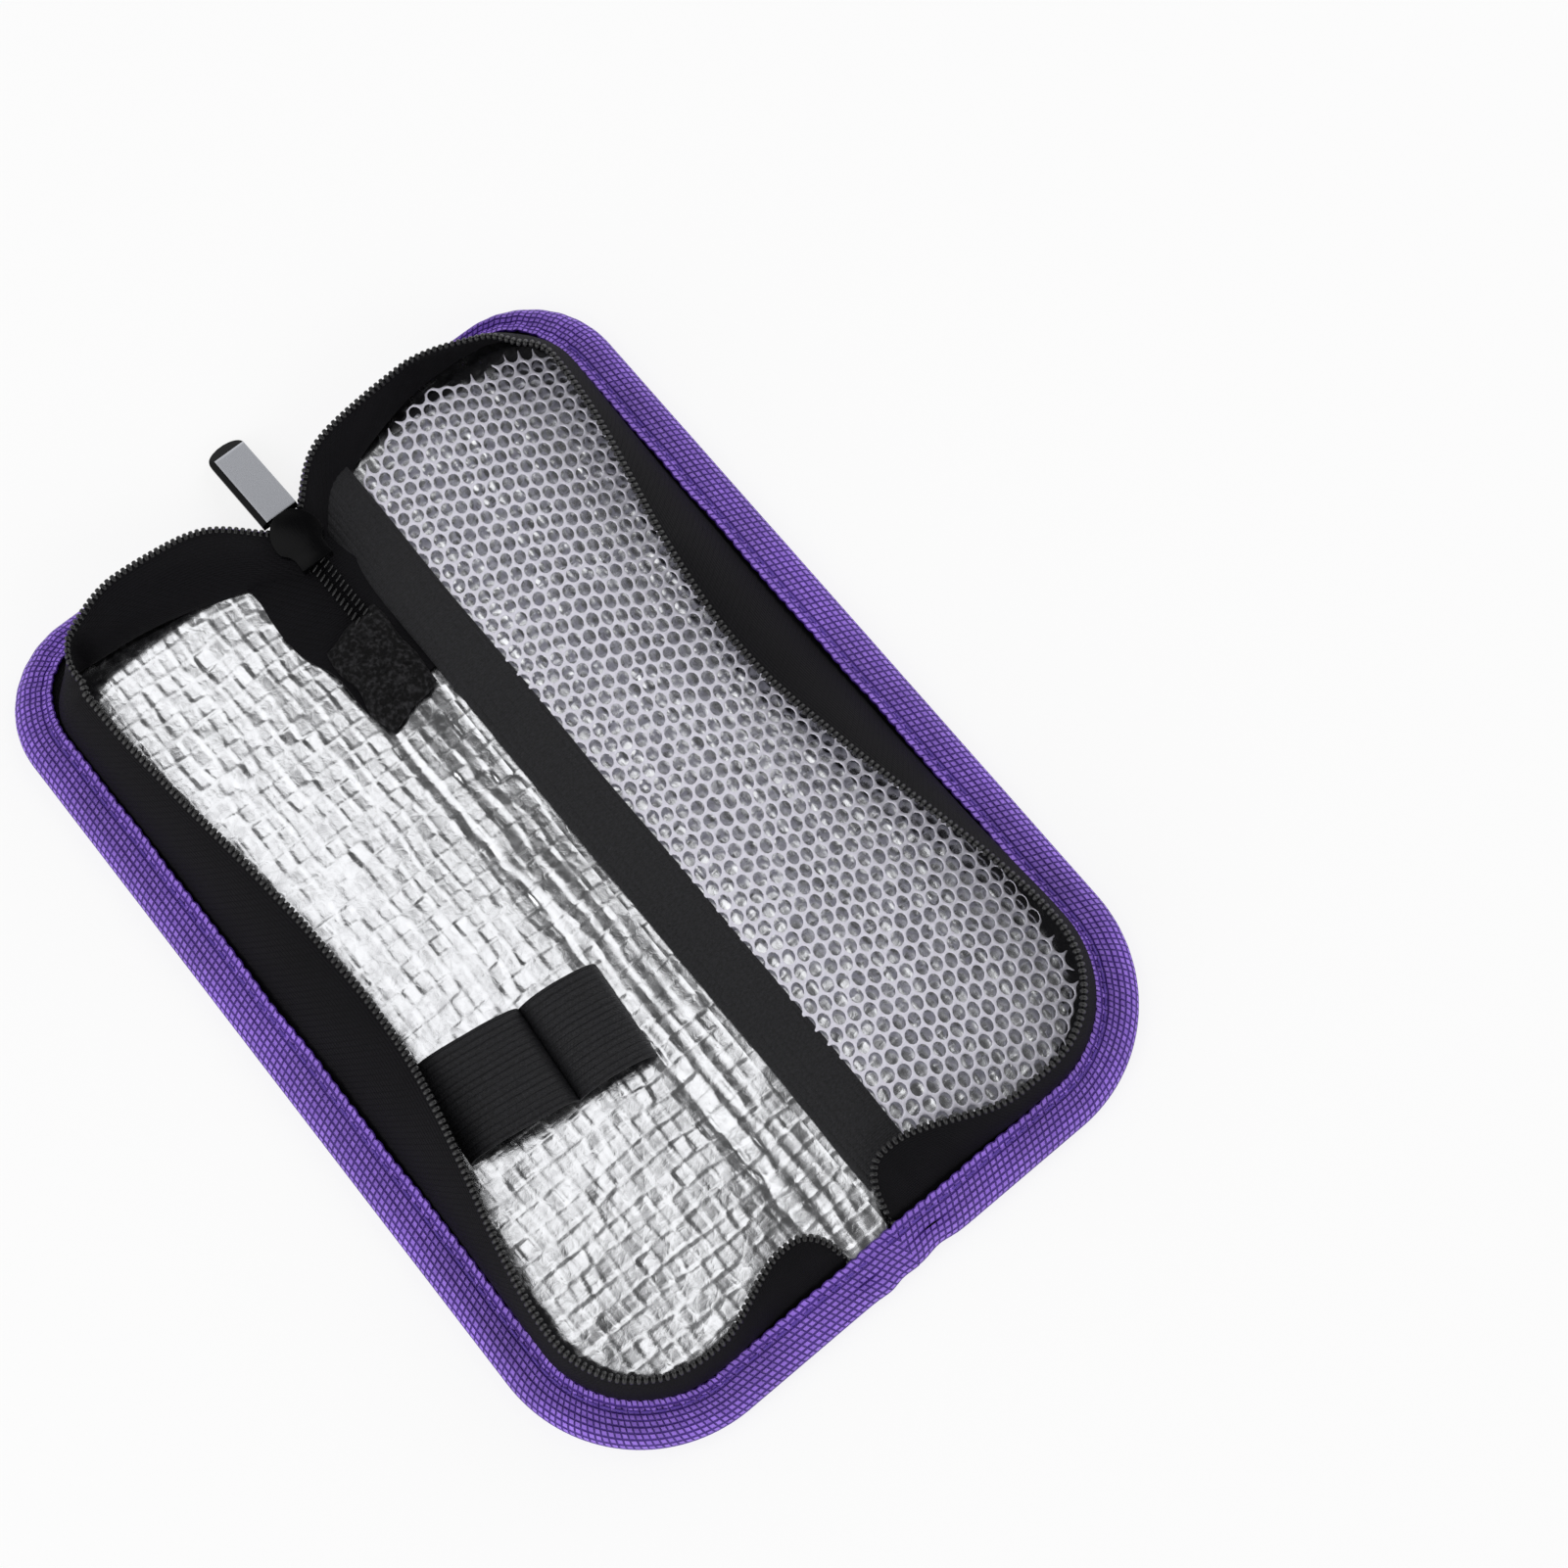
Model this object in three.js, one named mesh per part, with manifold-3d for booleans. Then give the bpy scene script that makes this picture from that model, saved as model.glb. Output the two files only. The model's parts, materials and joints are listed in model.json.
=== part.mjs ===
// Insulin cooling case: two padded halves on a soft spine, foil lined, with a zip round three sides.
// Millimetres, +Z up. The case lies open and flat: X runs across it, Y along the spine.
// The half with the pen loops is at -X, the half with the net pocket at +X.
import * as THREE from "three";
import { mergeVertices } from "three/addons/utils/BufferGeometryUtils.js";
import Module from "manifold-3d";

// Case
const LENGTH = 194.4;
const HALF_WIDTH = 59.8;
const SPINE_WIDTH = 17;
const NEAR_CORNER_RADIUS = 30;
const FAR_CORNER_RADIUS = 20;
const FOLD_GAP = 0.3;
const FOLD_RISE = 0.4;
const FOLD_DEGREES = 85.5;

// Layers, from the outside in
const COVER_THICKNESS = 0.45;
const FOAM_THICKNESS = 2.1;
const FOIL_THICKNESS = 0.35;
const LAYER_GAP = 0.1;

// Binding tape folded over the edge, and what it holds
const BINDING_WIDTH = 8;
const BINDING_THICKNESS = 0.7;
const BINDING_ROUNDING = 0.6;
const SEAM_GAP = 0.25;
const COVER_RAMP = 1.1;
const FOAM_EDGE = 2.2;
const FOIL_RAMP = 5;

// Zip tape and teeth
const TAPE_THICKNESS = 0.6;
const TAPE_WIDTH = 15.5;
const TAPE_TUCK = 6;
const SIDE_LEAN = 13.5;
const NEAR_CORNER_LEAN = 4;
const LOOP_CORNER_LEAN = 7.6;
const POCKET_CORNER_LEAN = 4.2;
const LOOP_NEAR_LEAN = 5.8;
const POCKET_NEAR_LEAN = 9;
const FAR_END_LEAN = -1.5;
const FAR_LEAN_START = 15;
const FAR_LEAN_STOP = 46;
const LOOP_BOW_Y = -1.2;
const POCKET_BOW_Y = 10.8;
const NEAR_TAPE_START = 2.5;
const FAR_TAPE_START = 10;
const EAR_LENGTH = 9;
const EAR_HEIGHT = 4;
const TEETH_RADIUS = 1.1;
const TEETH_ROOT = 0.7;
const TEETH_PITCH = 2.4;
const TEETH_GAP = 0.3;
const TEETH_MEET = 0.4;

// Pen loops
const LOOP_BAND_WIDTH = 20;
const LOOP_BAND_THICKNESS = 1;
const LOOP_BAND_Y = -25.7;
const LOOP_FOLD_DISTANCE = 4.3;
const NARROW_LOOP = 14.8;
const WIDE_LOOP = 19.7;
const LOOP_HEIGHT = 7;
const LOOP_SQUARENESS = 2.6;

// Net pocket and its elastic edge
const NET_THICKNESS = 0.6;
const NET_PITCH = 7.6;
const NET_CORD = 1.8;
const NET_HEM = 4.5;
const NET_EDGE = 3.9;
const NET_CROWN = 2.5;
const NET_LIFT = 0.2;
const RIBBON_THICKNESS = 0.8;
const RIBBON_WIDTH = 6.8;
const RIBBON_TUCK = 14;

// Closed end of the zip, which climbs gently from the spine
const ZIP_X = -3.6;
const TAIL_EDGE_DISTANCE = 39.9;
const TAIL_SLOPE_DEGREES = 4.8;
const TAIL_LIFT = 0.4;
const TAIL_WIDTH = 9;
const CHAIN_WIDTH = 3.8;
const CHAIN_HEIGHT = 1.6;
const CHAIN_LIFT = 0.3;
const END_TAB_LENGTH = 16;
const END_TAB_HEIGHT = 2.3;

// Slider and pull tab
const SLIDER_Y = 17;
const SLIDER_LENGTH = 12;
const SLIDER_NOSE = 10;
const SLIDER_TAIL = 6.7;
const SLIDER_HEAD = 6;
const SLIDER_NECK = 2.4;
const SLIDER_PLATE = 0.9;
const SLIDER_WALL = 0.9;
const SLIDER_CLEARANCE = 0.3;
const POST_LENGTH = 3.4;
const POST_WIDTH = 2.2;
const EYE_REACH = 1;
const EYE_BAR_RADIUS = 0.6;
const EYE_SPAN = 3.6;
const EYE_EAR = 0.9;
const TAB_LENGTH = 21.6;
const TAB_WIDTH = 8;
const TAB_THICKNESS = 1.3;
const TAB_NECK = 3;
const TAB_NECK_LENGTH = 1.6;
const TAB_TIP = 2.9;
const TAB_TIP_DROP = 0.55;
const TAB_RING = 0.7;
const TAB_PLAY = 0.3;
const TAB_BEVEL = 0.35;
const TAB_REST_GAP = 0.3;

// The halves, by the side of the spine they lie on
const LOOP_SIDE = -1;
const POCKET_SIDE = 1;

// Smoothness of round stretches
const CORNER_STEPS = 9;
const END_STEPS = 12;
const SIDE_STEPS = 32;
const ARCH_STEPS = 12;
const ROUND_STEPS = 10;

// Levels worked out from the layers
const FOAM_BOTTOM = COVER_THICKNESS + LAYER_GAP;
const FOAM_TOP = FOAM_BOTTOM + FOAM_THICKNESS;
const FOIL_BOTTOM = FOAM_TOP + LAYER_GAP;
const FLOOR = FOIL_BOTTOM + FOIL_THICKNESS;
const COVER_SEAM = BINDING_THICKNESS + SEAM_GAP;
const FOIL_SEAM = COVER_SEAM + COVER_THICKNESS + SEAM_GAP;
const TAPE_SEAM = FOIL_SEAM + FOIL_THICKNESS + SEAM_GAP + TAPE_THICKNESS / 2;
const BINDING_HEIGHT = TAPE_SEAM + TAPE_THICKNESS / 2 + SEAM_GAP + BINDING_THICKNESS;
const FOLD_AXIS = BINDING_HEIGHT + FOLD_RISE;

// Insets from the outer edge
const LAYER_INSET = BINDING_THICKNESS + SEAM_GAP;
const RAMP_INSET = BINDING_WIDTH + SEAM_GAP;
const TAPE_INSET = BINDING_WIDTH + TAPE_THICKNESS;

const radians = THREE.MathUtils.degToRad;
const wasm = await Module();
wasm.setup();

// Solids from rings of points and booleans

function indexed(positions, triangles) {
  const geometry = new THREE.BufferGeometry();
  geometry.setAttribute("position", new THREE.Float32BufferAttribute(positions, 3));
  geometry.setIndex(triangles);
  return geometry;
}

function signedVolume(positions, triangles) {
  const a = new THREE.Vector3();
  const b = new THREE.Vector3();
  const c = new THREE.Vector3();
  let volume = 0;
  for (let i = 0; i < triangles.length; i += 3) {
    a.fromArray(positions, 3 * triangles[i]);
    b.fromArray(positions, 3 * triangles[i + 1]);
    c.fromArray(positions, 3 * triangles[i + 2]);
    volume += a.dot(b.cross(c)) / 6;
  }
  return volume;
}

// Geometry from points and triangles, turned so that its faces point out.
function closed(points, triangles) {
  const positions = points.flatMap((p) => p.toArray());
  if (signedVolume(positions, triangles) < 0) triangles.reverse();
  return indexed(positions, triangles);
}

// Fills the first section, and the last one, whose points start at the index last.
// outline is the section drawn flat, which tells how it is cut into triangles.
function capEnds(triangles, outline, last) {
  const clockwise = THREE.ShapeUtils.isClockWise(outline);
  for (const [a, b, c] of THREE.ShapeUtils.triangulateShape(outline, [])) {
    const [p, q] = clockwise ? [c, b] : [b, c];
    triangles.push(a, q, p, last + a, last + p, last + q);
  }
}

// Skins a row of closed sections that have as many points each, and caps both ends.
function loft(sections, outline) {
  const count = sections[0].length;
  const triangles = [];
  for (let i = 0; i + 1 < sections.length; i++) {
    for (let j = 0; j < count; j++) {
      const a = i * count + j;
      const b = i * count + ((j + 1) % count);
      triangles.push(a, b, b + count, a, b + count, a + count);
    }
  }
  capEnds(triangles, outline, (sections.length - 1) * count);
  return closed(sections.flat(), triangles);
}

function solidOf(geometry) {
  const bare = geometry.clone();
  bare.deleteAttribute("normal");
  bare.deleteAttribute("uv");
  const merged = mergeVertices(bare, 1e-4);
  const mesh = new wasm.Mesh({
    numProp: 3,
    vertProperties: merged.attributes.position.array,
    triVerts: new Uint32Array(merged.index.array),
  });
  return new wasm.Manifold(mesh);
}

function geometryOf(solid) {
  const mesh = solid.getMesh();
  return indexed(Array.from(mesh.vertProperties), Array.from(mesh.triVerts));
}

function extruded(shape, depth) {
  return new THREE.ExtrudeGeometry(shape, { depth, bevelEnabled: false, curveSegments: ROUND_STEPS });
}

// Outline of a half, whose long side is straight from nearRun to farRun
const nearRun = NEAR_CORNER_RADIUS - LENGTH / 2;
const farRun = LENGTH / 2 - FAR_CORNER_RADIUS;

// One place on the outer edge: a point and the direction into the half.
function edgePlace(side, u, y, intoU, intoY) {
  return { side, u, y, intoU, intoY };
}

function pointAt(place, inset, z) {
  const u = place.u + place.intoU * inset;
  return new THREE.Vector3(place.side * (SPINE_WIDTH / 2 + u), place.y + place.intoY * inset, z);
}

// Places along the outer edge from the fold at the near end to the fold at the far end.
function edgePlaces(side, nearStart, farStart, endSteps, sideSteps) {
  const places = [];
  const cornerPlace = (radius, run, turn) => {
    const [c, s] = [Math.cos(turn), Math.sin(turn)];
    places.push(edgePlace(side, HALF_WIDTH - radius + radius * c, run + radius * s, -c, -s));
  };
  for (let i = 0; i < endSteps; i++) {
    const u = THREE.MathUtils.lerp(nearStart, HALF_WIDTH - NEAR_CORNER_RADIUS, i / endSteps);
    places.push(edgePlace(side, u, -LENGTH / 2, 0, 1));
  }
  for (let i = 0; i <= CORNER_STEPS; i++) {
    cornerPlace(NEAR_CORNER_RADIUS, nearRun, (Math.PI / 2) * (i / CORNER_STEPS - 1));
  }
  for (let i = 1; i < sideSteps; i++) {
    places.push(edgePlace(side, HALF_WIDTH, THREE.MathUtils.lerp(nearRun, farRun, i / sideSteps), -1, 0));
  }
  for (let i = 0; i <= CORNER_STEPS; i++) {
    cornerPlace(FAR_CORNER_RADIUS, farRun, (Math.PI / 2) * (i / CORNER_STEPS));
  }
  for (let i = 1; i <= endSteps; i++) {
    const u = THREE.MathUtils.lerp(HALF_WIDTH - FAR_CORNER_RADIUS, farStart, i / endSteps);
    places.push(edgePlace(side, u, LENGTH / 2, 0, -1));
  }
  return places;
}

const halfEdge = (side) => edgePlaces(side, FOLD_GAP, FOLD_GAP, 1, 1);

// One end of the spine, as two places on its edge.
function spineEnd(end) {
  const reach = SPINE_WIDTH / 2 - FOLD_GAP;
  const place = (x) => edgePlace(1, x - SPINE_WIDTH / 2, (end * LENGTH) / 2, 0, -end);
  return [place(-reach), place(reach)];
}

// A layer of a half: steps of [inset, level] from the middle of its underside to the middle of its top.
// The fold side is one flat face.
function halfLayer(side, steps) {
  const places = halfEdge(side);
  const count = places.length;
  const rings = steps.map(([inset, z]) => places.map((place) => pointAt(place, inset, z)));
  const points = rings.flat();
  const triangles = [];
  for (let i = 0; i + 1 < rings.length; i++) {
    for (let a = i * count; a + 1 < (i + 1) * count; a++) {
      triangles.push(a, a + 1, a + 1 + count, a, a + 1 + count, a + count);
    }
  }
  const flat = rings[0].map((p) => new THREE.Vector2(p.x, p.y));
  capEnds(triangles, flat, points.length - count);
  const near = rings.map((ring, i) => i * count);
  const loop = [...near, ...near.map((k) => k + count - 1).reverse()];
  const foldFace = loop.map((k) => new THREE.Vector2(points[k].y, points[k].z));
  for (const [a, b, c] of THREE.ShapeUtils.triangulateShape(foldFace, [])) {
    triangles.push(loop[a], loop[c], loop[b]);
  }
  return closed(points, triangles);
}

// The same layer across the spine, between its two fold sides.
function spineLayer(steps) {
  const near = spineEnd(-1);
  const far = spineEnd(1);
  const section = (k) => [
    ...steps.map(([inset, z]) => pointAt(near[k], inset, z)),
    ...steps.map(([inset, z]) => pointAt(far[k], inset, z)).reverse(),
  ];
  return loft([section(0), section(1)], section(0).map((p) => new THREE.Vector2(p.y, p.z)));
}

function coverSteps() {
  const top = COVER_THICKNESS;
  return [
    [RAMP_INSET + COVER_RAMP, 0],
    [RAMP_INSET, COVER_SEAM],
    [LAYER_INSET, COVER_SEAM],
    [LAYER_INSET, COVER_SEAM + top],
    [RAMP_INSET, COVER_SEAM + top],
    [RAMP_INSET + COVER_RAMP, top],
  ];
}

function foamSteps() {
  const inset = RAMP_INSET + FOAM_EDGE;
  const rise = ((FOIL_BOTTOM - FOIL_SEAM) * FOAM_EDGE) / FOIL_RAMP;
  return [
    [inset, FOAM_BOTTOM],
    [inset, FOIL_SEAM + rise - LAYER_GAP],
    [RAMP_INSET + FOIL_RAMP, FOAM_TOP],
  ];
}

function foilSteps() {
  const top = FOIL_THICKNESS;
  const shoulder = RAMP_INSET + FOIL_RAMP;
  return [
    [shoulder, FOIL_BOTTOM],
    [RAMP_INSET, FOIL_SEAM],
    [LAYER_INSET, FOIL_SEAM],
    [LAYER_INSET, FOIL_SEAM + top],
    [RAMP_INSET, FOIL_SEAM + top],
    [shoulder, FLOOR],
  ];
}

// Binding tape: a flat U round the edge, with rounded outer corners.
function binding(places) {
  const t = BINDING_THICKNESS;
  const r = BINDING_ROUNDING;
  const h = BINDING_HEIGHT;
  const w = BINDING_WIDTH;
  const outline = [
    [w, 0],
    [r, 0],
    [0, r],
    [0, h - r],
    [r, h],
    [w, h],
    [w, h - t],
    [t, h - t],
    [t, t],
    [w, t],
  ];
  const sections = places.map((place) => outline.map(([inset, z]) => pointAt(place, inset, z)));
  return loft(sections, outline.map(([inset, z]) => new THREE.Vector2(inset, z)));
}

// Zip tape that stands on the seam and leans into the case

// Height at which the two rows of teeth meet when the case is shut, at a distance u from the fold.
function meetingHeight(u) {
  const fold = radians(FOLD_DEGREES);
  const wedge = Math.PI / 2 - fold;
  const half = SPINE_WIDTH / 2;
  return FOLD_AXIS + half * Math.sin(fold) + Math.tan(wedge) * (u + half * Math.cos(fold));
}

// Lean of the tape along the near end, from its corner to the fold.
function nearLean(place) {
  const reach = HALF_WIDTH - NEAR_CORNER_RADIUS;
  const foldLean = place.side === LOOP_SIDE ? LOOP_NEAR_LEAN : POCKET_NEAR_LEAN;
  const along = THREE.MathUtils.smoothstep(reach - place.u, 0, reach);
  return THREE.MathUtils.lerp(NEAR_CORNER_LEAN, foldLean, along);
}

// Lean of the tape round the far corner, where it turns from leaning in to leaning out.
function farLean(place) {
  const turn = Math.atan2(-place.intoY, -place.intoU);
  const past = Math.max(HALF_WIDTH - FAR_CORNER_RADIUS - place.u, 0);
  const along = THREE.MathUtils.smoothstep(FAR_CORNER_RADIUS * turn + past, FAR_LEAN_START, FAR_LEAN_STOP);
  const cornerLean = place.side === LOOP_SIDE ? LOOP_CORNER_LEAN : POCKET_CORNER_LEAN;
  return THREE.MathUtils.lerp(cornerLean, FAR_END_LEAN, along);
}

// How far the tape's free edge leans in from its seam, and how high it stands there.
function leanAt(place) {
  const bowY = place.side === LOOP_SIDE ? LOOP_BOW_Y : POCKET_BOW_Y;
  const bowRun = place.y < bowY ? nearRun : farRun;
  const alongSide = Math.min((place.y - bowY) / (bowRun - bowY), 1);
  const bow = (1 - alongSide ** 2) ** 2;
  const lean = THREE.MathUtils.lerp(place.y < 0 ? nearLean(place) : farLean(place), SIDE_LEAN, bow);
  const u = place.u + place.intoU * (TAPE_INSET + lean);
  const room = meetingHeight(u) - TEETH_MEET - 2 * TEETH_RADIUS - TEETH_GAP - TAPE_SEAM;
  const start = place.y < 0 ? NEAR_TAPE_START : FAR_TAPE_START;
  const ear = THREE.MathUtils.smoothstep(place.u - start, -EAR_LENGTH / 2, EAR_LENGTH);
  const free = Math.min(room, Math.sqrt(Math.max(TAPE_WIDTH ** 2 - lean ** 2, 1)));
  return { lean, height: THREE.MathUtils.lerp(Math.min(EAR_HEIGHT, free), free, ear) };
}

// Tape section in inset and level: tucked flat into the binding, then bent up along the lean.
function tapeSection(lean, height) {
  const t = TAPE_THICKNESS / 2;
  const length = Math.hypot(lean, height);
  const wall = new THREE.Vector2(-height / length, lean / length);
  const flat = new THREE.Vector2(0, 1);
  const mitre = wall.clone().add(flat).divideScalar(1 + wall.dot(flat));
  const line = [
    [new THREE.Vector2(TAPE_INSET - TAPE_TUCK, TAPE_SEAM), flat],
    [new THREE.Vector2(TAPE_INSET, TAPE_SEAM), mitre],
    [new THREE.Vector2(TAPE_INSET + lean, TAPE_SEAM + height), wall],
  ];
  const under = line.map(([p, n]) => p.clone().addScaledVector(n, -t));
  const over = line.map(([p, n]) => p.clone().addScaledVector(n, t)).reverse();
  return [...under, ...over];
}

function tapeEdge(side, endSteps, sideSteps) {
  return edgePlaces(side, NEAR_TAPE_START, FAR_TAPE_START, endSteps, sideSteps);
}

function zipTape(side) {
  const places = tapeEdge(side, END_STEPS, SIDE_STEPS);
  const sections = places.map((place) => {
    const { lean, height } = leanAt(place);
    return tapeSection(lean, height).map((p) => pointAt(place, p.x, p.y));
  });
  const { lean, height } = leanAt(places[0]);
  return loft(sections, tapeSection(lean, height));
}

// Places at equal spacing along the free edge of the tape.
function teethPlaces(side) {
  const fine = tapeEdge(side, 2 * END_STEPS, 4 * SIDE_STEPS);
  const crest = (place) => {
    const { lean, height } = leanAt(place);
    return pointAt(place, TAPE_INSET + lean, TAPE_SEAM + height);
  };
  const lengths = [0];
  for (let i = 1; i < fine.length; i++) {
    lengths.push(lengths[i - 1] + crest(fine[i]).distanceTo(crest(fine[i - 1])));
  }
  const total = lengths[lengths.length - 1];
  const count = 2 * Math.floor(total / TEETH_PITCH);
  const places = [];
  for (let k = 0, i = 0; k <= count; k++) {
    const want = (total * k) / count;
    while (i + 2 < lengths.length && lengths[i + 1] < want) i++;
    const t = (want - lengths[i]) / (lengths[i + 1] - lengths[i]);
    const [a, b] = [fine[i], fine[i + 1]];
    const mix = (key) => THREE.MathUtils.lerp(a[key], b[key], t);
    places.push(edgePlace(side, mix("u"), mix("y"), mix("intoU"), mix("intoY")));
  }
  return places;
}

// A row of zip teeth: a bar along the tape's free edge that swells at every tooth.
function zipTeeth(side) {
  const places = teethPlaces(side);
  const section = (place, k) => {
    const { lean, height } = leanAt(place);
    const along = new THREE.Vector2(lean, height).normalize();
    const across = new THREE.Vector2(-along.y, along.x);
    const centre = new THREE.Vector2(TAPE_INSET + lean, TAPE_SEAM + height);
    centre.addScaledVector(along, TEETH_RADIUS + TEETH_GAP);
    const tip = k % 2 ? TEETH_RADIUS : TEETH_ROOT;
    return [
      centre.clone().addScaledVector(along, -TEETH_RADIUS),
      centre.clone().addScaledVector(across, tip),
      centre.clone().addScaledVector(along, tip),
      centre.clone().addScaledVector(across, -tip),
    ];
  };
  const sections = places.map((place, k) => section(place, k).map((p) => pointAt(place, p.x, p.y)));
  return loft(sections, section(places[0], 0));
}

// Elastic band that makes the two pen loops

function penLoopBand() {
  const t = LOOP_BAND_THICKNESS;
  const inner = -(SPINE_WIDTH / 2 + LOOP_FOLD_DISTANCE);
  const seam = inner - NARROW_LOOP;
  const outer = seam - WIDE_LOOP;
  const shape = new THREE.Shape();
  const arch = (from, to, base, height) => {
    for (let i = 0; i <= ARCH_STEPS; i++) {
      const s = -Math.cos((Math.PI * i) / ARCH_STEPS);
      const z = (1 - Math.abs(s) ** LOOP_SQUARENESS) ** (1 / LOOP_SQUARENESS);
      shape.lineTo((from + to) / 2 + (s * (to - from)) / 2, base + z * (height - base));
    }
  };
  shape.moveTo(outer, 0);
  arch(outer, seam, t, LOOP_HEIGHT);
  arch(seam, inner, t, LOOP_HEIGHT);
  shape.lineTo(inner, 0);
  arch(inner - t, seam + t, 0, LOOP_HEIGHT - t);
  arch(seam - t, outer + t, 0, LOOP_HEIGHT - t);
  const geometry = extruded(shape, LOOP_BAND_WIDTH);
  geometry.rotateX(Math.PI / 2);
  geometry.translate(0, LOOP_BAND_Y + LOOP_BAND_WIDTH / 2, FLOOR + LAYER_GAP);
  return geometry;
}

// Net pocket: a crowned sheet of hexagonal gaps, with a plain hem along the fold

function netPocket() {
  const inset = RAMP_INSET + NET_EDGE;
  const places = halfEdge(POCKET_SIDE);
  const outline = places.map((place) => pointAt(place, inset, 0));
  const shape = new THREE.Shape(outline.map((p) => new THREE.Vector2(p.x, p.y)));
  const radius = (NET_PITCH - NET_CORD) / Math.sqrt(3);
  const row = (NET_PITCH * Math.sqrt(3)) / 2;
  const left = SPINE_WIDTH / 2 + NET_HEM;
  const right = SPINE_WIDTH / 2 + HALF_WIDTH - inset;
  const end = LENGTH / 2 - inset;
  const inside = (x, y) => {
    const bend = (y < 0 ? NEAR_CORNER_RADIUS : FAR_CORNER_RADIUS) - inset;
    const cornerX = x - (right - bend);
    const cornerY = Math.abs(y) - (end - bend);
    const past = cornerX > 0 && cornerY > 0 ? Math.hypot(cornerX, cornerY) : Math.max(cornerX, cornerY);
    return x - radius > left && past + radius + NET_CORD / 2 < bend;
  };
  const rows = Math.floor((right - left) / row);
  const columns = Math.floor(end / NET_PITCH);
  for (let i = 0; i <= rows; i++) {
    for (let j = -columns; j <= columns; j++) {
      const x = left + radius + NET_CORD / 4 + i * row;
      const y = (j + (i % 2) / 2) * NET_PITCH;
      if (!inside(x, y)) continue;
      const hole = new THREE.Path();
      for (let k = 0; k < 6; k++) {
        const turn = (Math.PI * k) / 3;
        const [hx, hy] = [x + radius * Math.cos(turn), y + radius * Math.sin(turn)];
        if (k) hole.lineTo(hx, hy);
        else hole.moveTo(hx, hy);
      }
      hole.closePath();
      shape.holes.push(hole);
    }
  }
  const geometry = extruded(shape, NET_THICKNESS);
  const position = geometry.attributes.position;
  const middle = (left + right) / 2;
  for (let i = 0; i < position.count; i++) {
    const across = Math.min(Math.abs(position.getX(i) - middle) / ((right - left) / 2), 1);
    const along = Math.min(Math.abs(position.getY(i)) / end, 1);
    const crown = NET_CROWN * (1 - across ** 2) * (1 - along ** 4);
    position.setZ(i, position.getZ(i) + FLOOR + NET_LIFT + crown);
  }
  return geometry;
}

// Ribbed elastic along the pocket's mouth, laid flat on the spine.
function pocketRibbon() {
  const length = LENGTH - 2 * (RAMP_INSET + RIBBON_TUCK);
  const right = SPINE_WIDTH / 2 - FOLD_GAP;
  const shape = new THREE.Shape();
  shape.moveTo(right - RIBBON_WIDTH, 0);
  shape.lineTo(right, 0);
  shape.lineTo(right, RIBBON_THICKNESS);
  shape.lineTo(right - RIBBON_WIDTH, RIBBON_THICKNESS);
  const geometry = extruded(shape, length);
  geometry.rotateX(Math.PI / 2);
  geometry.translate(0, length / 2, FLOOR + LAYER_GAP);
  return geometry;
}

// Closed end of the zip, in its own frame: Y along the chain, Z up from the underside of the tape

const tailY = LENGTH / 2 - TAIL_EDGE_DISTANCE;
const tailSlope = radians(TAIL_SLOPE_DEGREES);
const chainBottom = TAPE_THICKNESS + CHAIN_LIFT;
const chainTop = chainBottom + CHAIN_HEIGHT;
const postStart = SLIDER_Y + SLIDER_LENGTH - POST_LENGTH;
const chainLength = postStart - SLIDER_CLEARANCE;

function tailTape() {
  const shape = new THREE.Shape();
  const half = TAIL_WIDTH / 2;
  shape.moveTo(-half, 0);
  shape.lineTo(half, 0);
  shape.lineTo(half, chainLength);
  shape.lineTo(-half, chainLength);
  return extruded(shape, TAPE_THICKNESS);
}

// Two rows of teeth in mesh: one bar with teeth on both flanks.
function tailChain() {
  const count = 2 * Math.floor(chainLength / TEETH_PITCH);
  const sections = [];
  for (let k = 0; k <= count; k++) {
    const half = CHAIN_WIDTH / 2 - (k % 2 ? 0 : TEETH_RADIUS - TEETH_ROOT);
    const y = (chainLength * k) / count;
    const shoulder = chainBottom + CHAIN_HEIGHT / 2;
    sections.push([
      new THREE.Vector3(-half, y, chainBottom),
      new THREE.Vector3(half, y, chainBottom),
      new THREE.Vector3(half, y, shoulder),
      new THREE.Vector3(0, y, chainTop),
      new THREE.Vector3(-half, y, shoulder),
    ]);
  }
  return loft(sections, sections[0].map((p) => new THREE.Vector2(p.x, p.z)));
}

// Fabric tab sewn over the end of the tape, slightly domed.
function endTab() {
  const shape = new THREE.Shape();
  const half = TAIL_WIDTH / 2;
  const edge = END_TAB_HEIGHT / 2;
  shape.moveTo(-half, 0);
  shape.lineTo(half, 0);
  shape.lineTo(half, edge);
  shape.quadraticCurveTo(0, END_TAB_HEIGHT + edge, -half, edge);
  const geometry = extruded(shape, END_TAB_LENGTH);
  geometry.rotateX(Math.PI / 2);
  geometry.translate(ZIP_X, tailY - FOLD_GAP, FLOOR + LAYER_GAP);
  return geometry;
}

// Outline of a slider plate: a round head, hollow sides below it and a narrow straight tail.
function sliderOutline() {
  const shape = new THREE.Shape();
  const nose = SLIDER_NOSE / 2;
  const tail = SLIDER_TAIL / 2;
  const front = SLIDER_Y + SLIDER_LENGTH;
  const widest = front - SLIDER_HEAD;
  const waist = SLIDER_Y + SLIDER_NECK;
  const middle = (waist + widest) / 2;
  shape.moveTo(-tail, SLIDER_Y);
  shape.lineTo(tail, SLIDER_Y);
  shape.lineTo(tail, waist);
  shape.bezierCurveTo(tail, middle, nose, middle, nose, widest);
  shape.absellipse(0, widest, nose, SLIDER_HEAD, 0, Math.PI);
  shape.bezierCurveTo(-nose, middle, -tail, middle, -tail, waist);
  return shape;
}

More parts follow.
